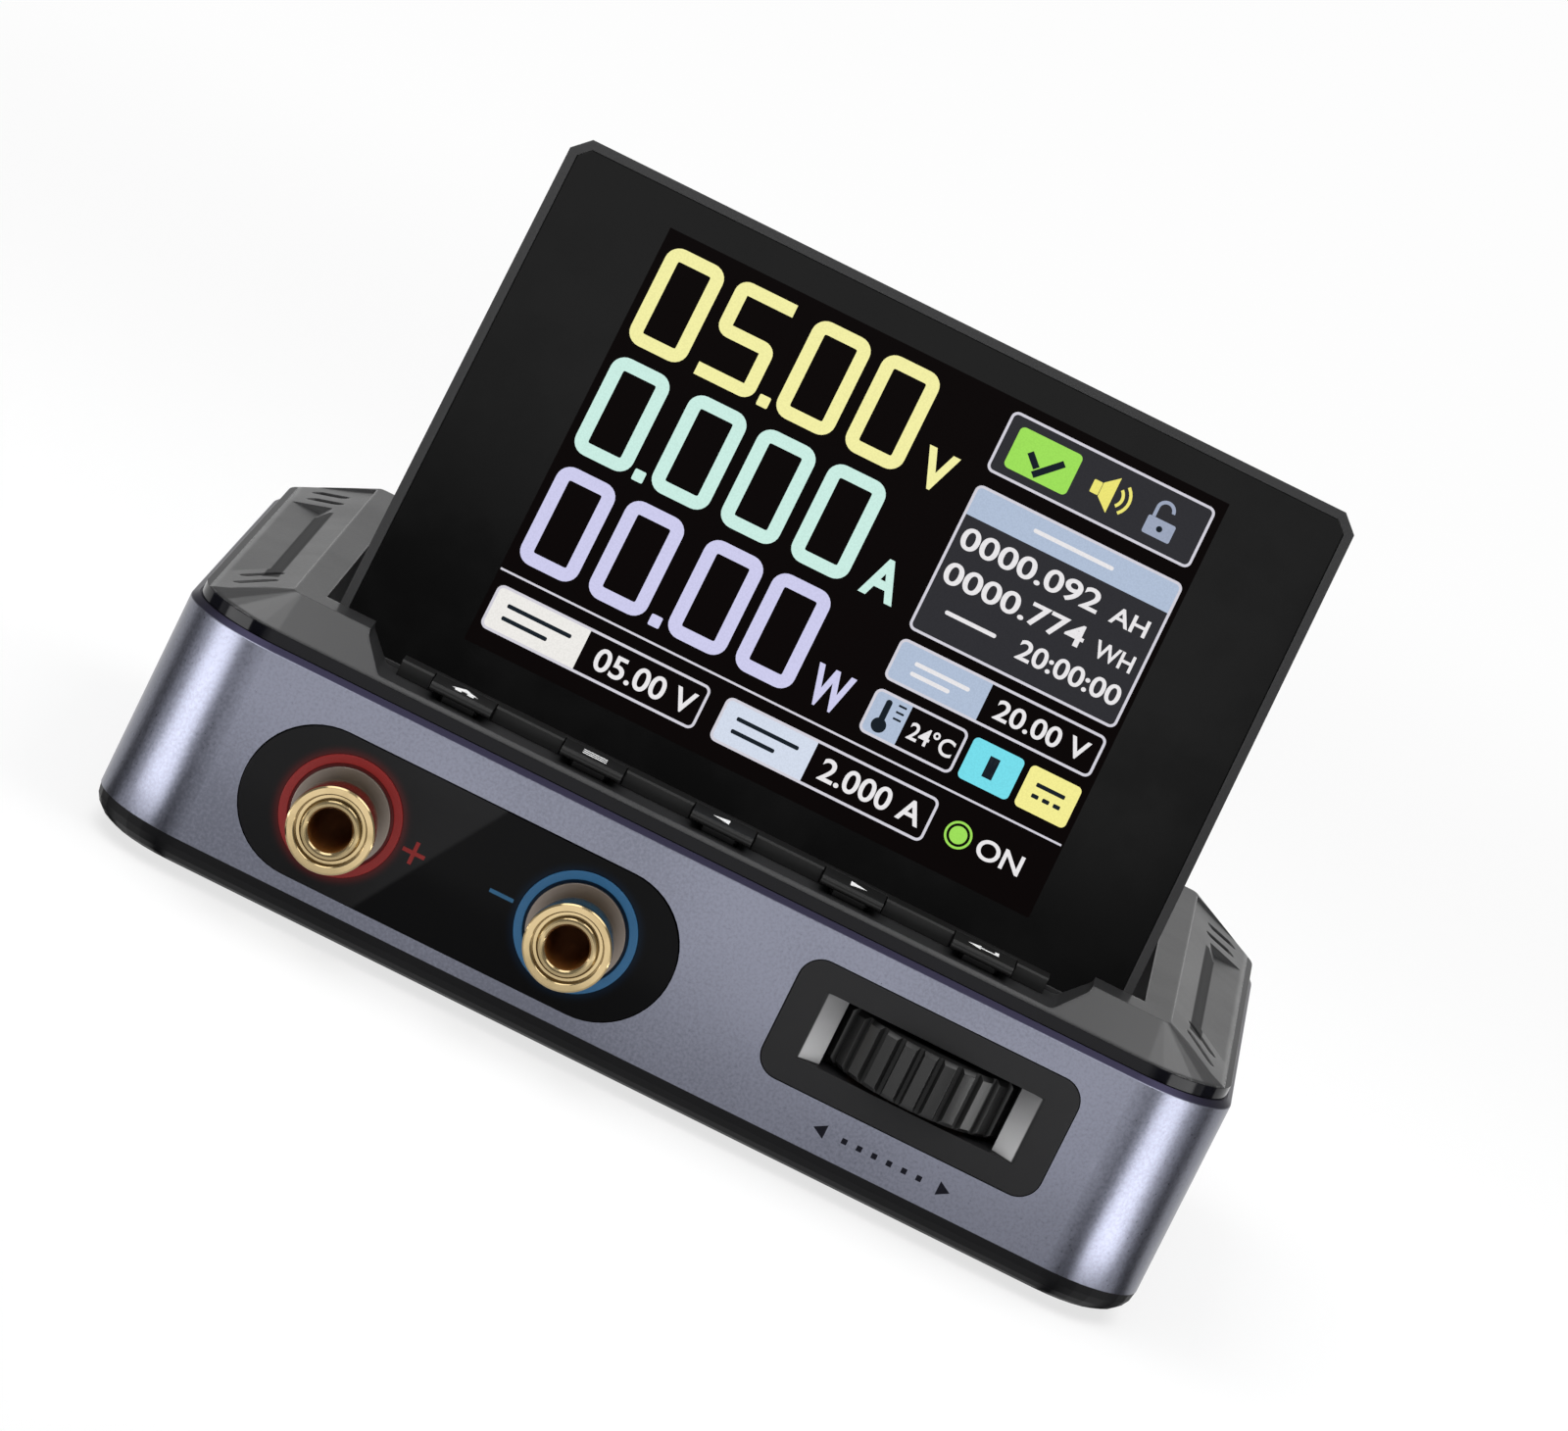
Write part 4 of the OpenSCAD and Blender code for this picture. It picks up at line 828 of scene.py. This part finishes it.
def dark_signs():
    """Tick, figure, level sign, text bars and thermometer stem on the pale badges and tags."""
    tick = plate(39.55, 38.2, 42.75, 38.85, turn=45)
    hook = plate(38.75, 38.35, 40.35, 39.0, turn=-45)
    signs = [tick, hook, written("1", 48.0, 9.9, 49.0, 12.0), plate(52.9, 11.3, 55.8, 11.7, 0.1)]
    signs += row(plate(52.9, 10.2, 53.6, 10.6, 0.1), 3, 1.1, 0)
    signs += [plate(2.2, 4.35, 8.7, 4.75, 0.15), plate(2.2, 3.1, 6.8, 3.5, 0.15)]
    signs += [plate(25.6, 4.4, 31.9, 4.8, 0.15), plate(25.6, 3.15, 30.0, 3.55, 0.15)]
    signs += row(plate(38.4, 11.0, 39.2, 11.2, 0.05), 3, 0, 0.65)
    return signs + [plate(37.2, 10.2, 37.8, 12.5, 0.28)]


def speaker():
    """A small box, a cone drawn wide at its right end, and two sound waves."""
    centre = (47.4, 39.05)
    cone = plate(46.3, 38.35, 47.6, 39.75)
    mark(cone, lambda at: at.x > 47)
    bpy.ops.transform.resize(value=(1, 2.6, 1), center_override=(47.6, 39.05, 0))
    leave()
    waves = []
    for radius in (1.25, 1.95):
        wave = hollow(disc(*centre, radius), 0.3)
        slice_at(wave, centre, (-1, 0.9), drop=True)
        waves.append(slice_at(wave, centre, (-1, -0.9), drop=True))
    return [plate(45.4, 38.4, 46.25, 39.7, 0.1), cone] + waves


def padlock():
    """A box with an open shackle: half a ring and one leg."""
    centre = (52.55, 39.95)
    shackle = slice_at(hollow(disc(*centre, 0.95), 0.34), centre, (0, -1), drop=True)
    leg = plate(51.6, 39.02, 51.94, 39.94)
    return [plate(51.3, 37.2, 54.1, 39.0, 0.2), shackle, leg]


# Printed marks on case and keys


def facing_front(x, y, z):
    """A plane that faces the front, through that point; x and z in millimetres."""
    return (
        Matrix.Translation((x / 1000, y, z / 1000)) @ Matrix.Rotation(math.radians(90), 4, "X")
        @ Matrix.Scale(0.001, 4)
    )


def cross(reach, bar):
    """A plus sign: a small square with an arm drawn out of each of its four sides."""
    piece = plate(-bar, -bar, bar, bar)
    arm = reach - bar
    for x, y in ((1, 0), (-1, 0), (0, 1), (0, -1)):
        mark(piece, lambda at: max(abs(at.x), abs(at.y)) < bar + 0.01 and at.x * x + at.y * y > bar - 0.01)
        bpy.ops.mesh.extrude_edges_move(TRANSFORM_OT_translate={"value": (x * arm, y * arm, 0)})
        leave()
    return piece


def print_case():
    plate_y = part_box("terminal_plate")[0].y
    front_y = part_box("aluminium_frame")[0].y
    red, blue = tone(118, 34, 33), tone(42, 84, 116)
    # The plus and minus marks also glow faintly in their own colours: painted light on printed ink.
    glowing_red_ink = ink("plus_red", red).glow(red, 0.15)
    glowing_blue_ink = ink("minus_blue", blue).glow(blue, 0.15)
    black_ink = ink("arrow_black", tone(14, 14, 24), 0.8)
    at = facing_front(-24.05, plate_y, 12.1)
    settle("plus_mark", [cross(1.1, 0.19)], at, 0, glowing_red_ink, "case")
    at = facing_front(-15.2, plate_y, 12.2)
    settle("minus_mark", [plate(-1.2, -0.18, 1.2, 0.18, 0.05)], at, 0, glowing_blue_ink, "case")
    arrows = [disc(side * 6.1, 0, 0.8, 3, 90 - side * 90) for side in (-1, 1)]
    dots = row(plate(-4.05, -0.27, -3.51, 0.27, 0.05), 6, 1.51, 0)
    at = facing_front(26.4, front_y, 5.8)
    settle("turn_marks", arrows + dots, at, 0, black_ink, "case")


def key_icons():
    """A house, three bars, two arrowheads and a return arrow, each about its own key's centre."""
    roof = disc(0, 0.25, 1.0, 3, 90, 1.5)
    walls = plate(-0.95, -1.05, 0.95, -0.25)
    for cut in (-0.3, 0.3):
        slice_at(walls, (cut, 0), (1, 0))
    drop_cells(walls, lambda at: abs(at.x) < 0.3)
    bent_shaft = [plate(0.95, -0.05, 1.35, 0.9), plate(-0.5, -0.45, 1.35, -0.05)]
    return {
        "home_key": [roof, walls],
        "menu_key": row(plate(-1.2, -0.97, 1.2, -0.63, 0.1), 3, 0, 0.8),
        "left_key": [disc(-0.1, 0, 1.1, 3, 180)],
        "right_key": [disc(0.1, 0, 1.1, 3, 0)],
        "confirm_key": bent_shaft + [disc(-0.85, -0.25, 0.85, 3, 180)],
    }


def print_keys():
    white = ink("key_icon_white", tone(225, 225, 225))
    for key, pieces in key_icons().items():
        low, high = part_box(key)
        middle = (low + high) / 2
        placing = Matrix.Translation((middle.x, middle.y, high.z)) @ Matrix.Scale(0.001, 4)
        settle(key + "_icon", pieces, placing, 0, white, key)


# Studio: a white floor, a plain grey surround that is seen as white, and soft lamps

CORNER_X, CORNER_Y = 0.044, -0.029  # centre of the bend at the case's right front corner


def black_flags(finish):
    """1 on two black wedges that point at each front corner's centre, one ahead and one aside."""
    half_angle, reach = 0.2, 0.2
    out = finish.absolute(finish.along("X")) - CORNER_X
    ahead = CORNER_Y - finish.along("Y")
    away = finish.add("ShaderNodeMath", {"operation": "ARCTAN2"}, {0: out, 1: ahead})
    first, second = (
        finish.fall(finish.absolute(away - math.radians(middle)), half_angle, half_angle + 0.04)
        for middle in (25, 104))
    return (first + second) * finish.fall(distance(out, ahead), reach, reach + 0.02)


def lay_floor():
    """A white floor that keeps the object's shadow, with black flags that gloss alone sees."""
    clear_selection()
    bpy.ops.mesh.primitive_plane_add(size=8, location=(0, 0, -0.0001))
    bpy.ops.object.transform_apply(location=True, rotation=True, scale=True)
    floor = bpy.context.object
    floor.name = "studio_floor"
    finish = Finish("floor_white")
    seen, in_gloss, in_glass = finish.rays()
    # Painted dark reflections: for glossy rays the floor is black in the flag wedges, which darkens the
    # metal corners beside their bright lines.
    flag = in_gloss * black_flags(finish)
    finish.set(Base_Color=finish.blend(flag, (0.86, 0.86, 0.86, 1), (0.02, 0.02, 0.02, 1)), Roughness=0.9)
    whiteness = finish.step(distance(finish.along("X"), finish.along("Y")), 0.12, 0.5, 0.74, 0.97)
    share = whiteness * (seen + in_gloss + in_glass) * (1.0 - flag)
    white = finish.add("ShaderNodeEmission", {}, {"Color": WHITE, "Strength": 1.0})
    mixed = finish.add("ShaderNodeMixShader", {}, {0: share, 2: white})
    finish.tree.links.new(finish.shader.outputs[0], mixed.socket.node.inputs[1])
    end = next(n for n in finish.tree.nodes if n.type == "OUTPUT_MATERIAL")
    finish.tree.links.new(mixed.socket, end.inputs[0])
    floor.data.materials.append(finish.material)


class Surround(Finish):
    """The world's own nodes, built with the same methods as a material's."""

    def __init__(self, world):
        world.use_nodes = True
        self.tree = world.node_tree
        self.tree.nodes.clear()


def fill_surround():
    """White where it is seen or mirrored as the background; as a light it is plain and grey."""
    world = bpy.data.worlds.new("studio_surround")
    bpy.context.scene.world = world
    sky = Surround(world)
    height = sky.add("ShaderNodeSeparateXYZ", {}, {0: sky.add("ShaderNodeTexCoord")}, out="Z")
    level = sky.step(height, 0.5, 0.95, 0.34, 0.5)
    seen, in_gloss, in_glass = sky.rays()
    white = seen + (in_gloss + in_glass) * sky.fall(height, 0.0, 0.25)
    strength = level + white * (1.0 - level)
    light = sky.add("ShaderNodeBackground", {}, {"Color": WHITE, "Strength": strength})
    sky.tree.links.new(light.socket, sky.tree.nodes.new("ShaderNodeOutputWorld").inputs[0])


def hang_lamp(name, place, size, power, target=(0, 0, 0)):
    """A soft box that faces the target."""
    clear_selection()
    bpy.ops.object.light_add(type="AREA", location=place)
    lamp = bpy.context.object
    lamp.name = name
    lamp.data.shape = "RECTANGLE"
    lamp.data.size, lamp.data.size_y = size
    lamp.data.energy = power
    lamp.rotation_mode = "QUATERNION"
    lamp.rotation_quaternion = (Vector(place) - Vector(target)).to_track_quat("Z", "Y")
    lamp.visible_camera = False


def lay_panel(name, x, y, size, turn, power):
    """A flat lamp that lies on the floor beside the case and shines upwards."""
    hang_lamp(name, (x, y, 0.001), size, power)
    lamp = bpy.context.object
    lamp.rotation_mode = "XYZ"
    lamp.rotation_euler = (math.pi, 0, turn)


def light_corner(name, side):
    """Three flat lamps in a row away from a front corner, wider as they go, for the bright line in it."""
    away, widening, radiance = math.radians(56), 0.46, 7.6
    turn = side * (math.pi / 2 - away)
    for place, (near, far) in enumerate(((0.022, 0.045), (0.045, 0.085), (0.085, 0.16))):
        middle = (near + far) / 2
        long, wide = far - near, widening * middle
        x = side * (CORNER_X + middle * math.sin(away))
        y = CORNER_Y - middle * math.cos(away)
        lay_panel(f"low_panel_{name}_{place}", x, y, (long, wide), turn, radiance * math.pi * long * wide)


def hang_lamps():
    hang_lamp("soft_box_front", (-0.3, -1.26, 1.33), (1.0, 0.76), 5.4, (0, 0, 0.05))
    sides = (("left", -1), ("right", 1))
    for name, side in sides:
        x, y = side * 0.165, -0.03
        hang_lamp("soft_box_" + name, (x, y, 0.35), (0.22, 0.42), 0.87, (x, y, 0))
    lay_panel("low_panel_front", 0, -0.15, (0.16, 0.14), 0, 0.07)
    for name, side in sides:
        light_corner(name, side)


stand_camera()
dress_nodes(make_finishes())
light_screen()
print_case()
print_keys()
lay_floor()
fill_surround()
hang_lamps()
bpy.context.scene.view_settings.view_transform = "Standard"
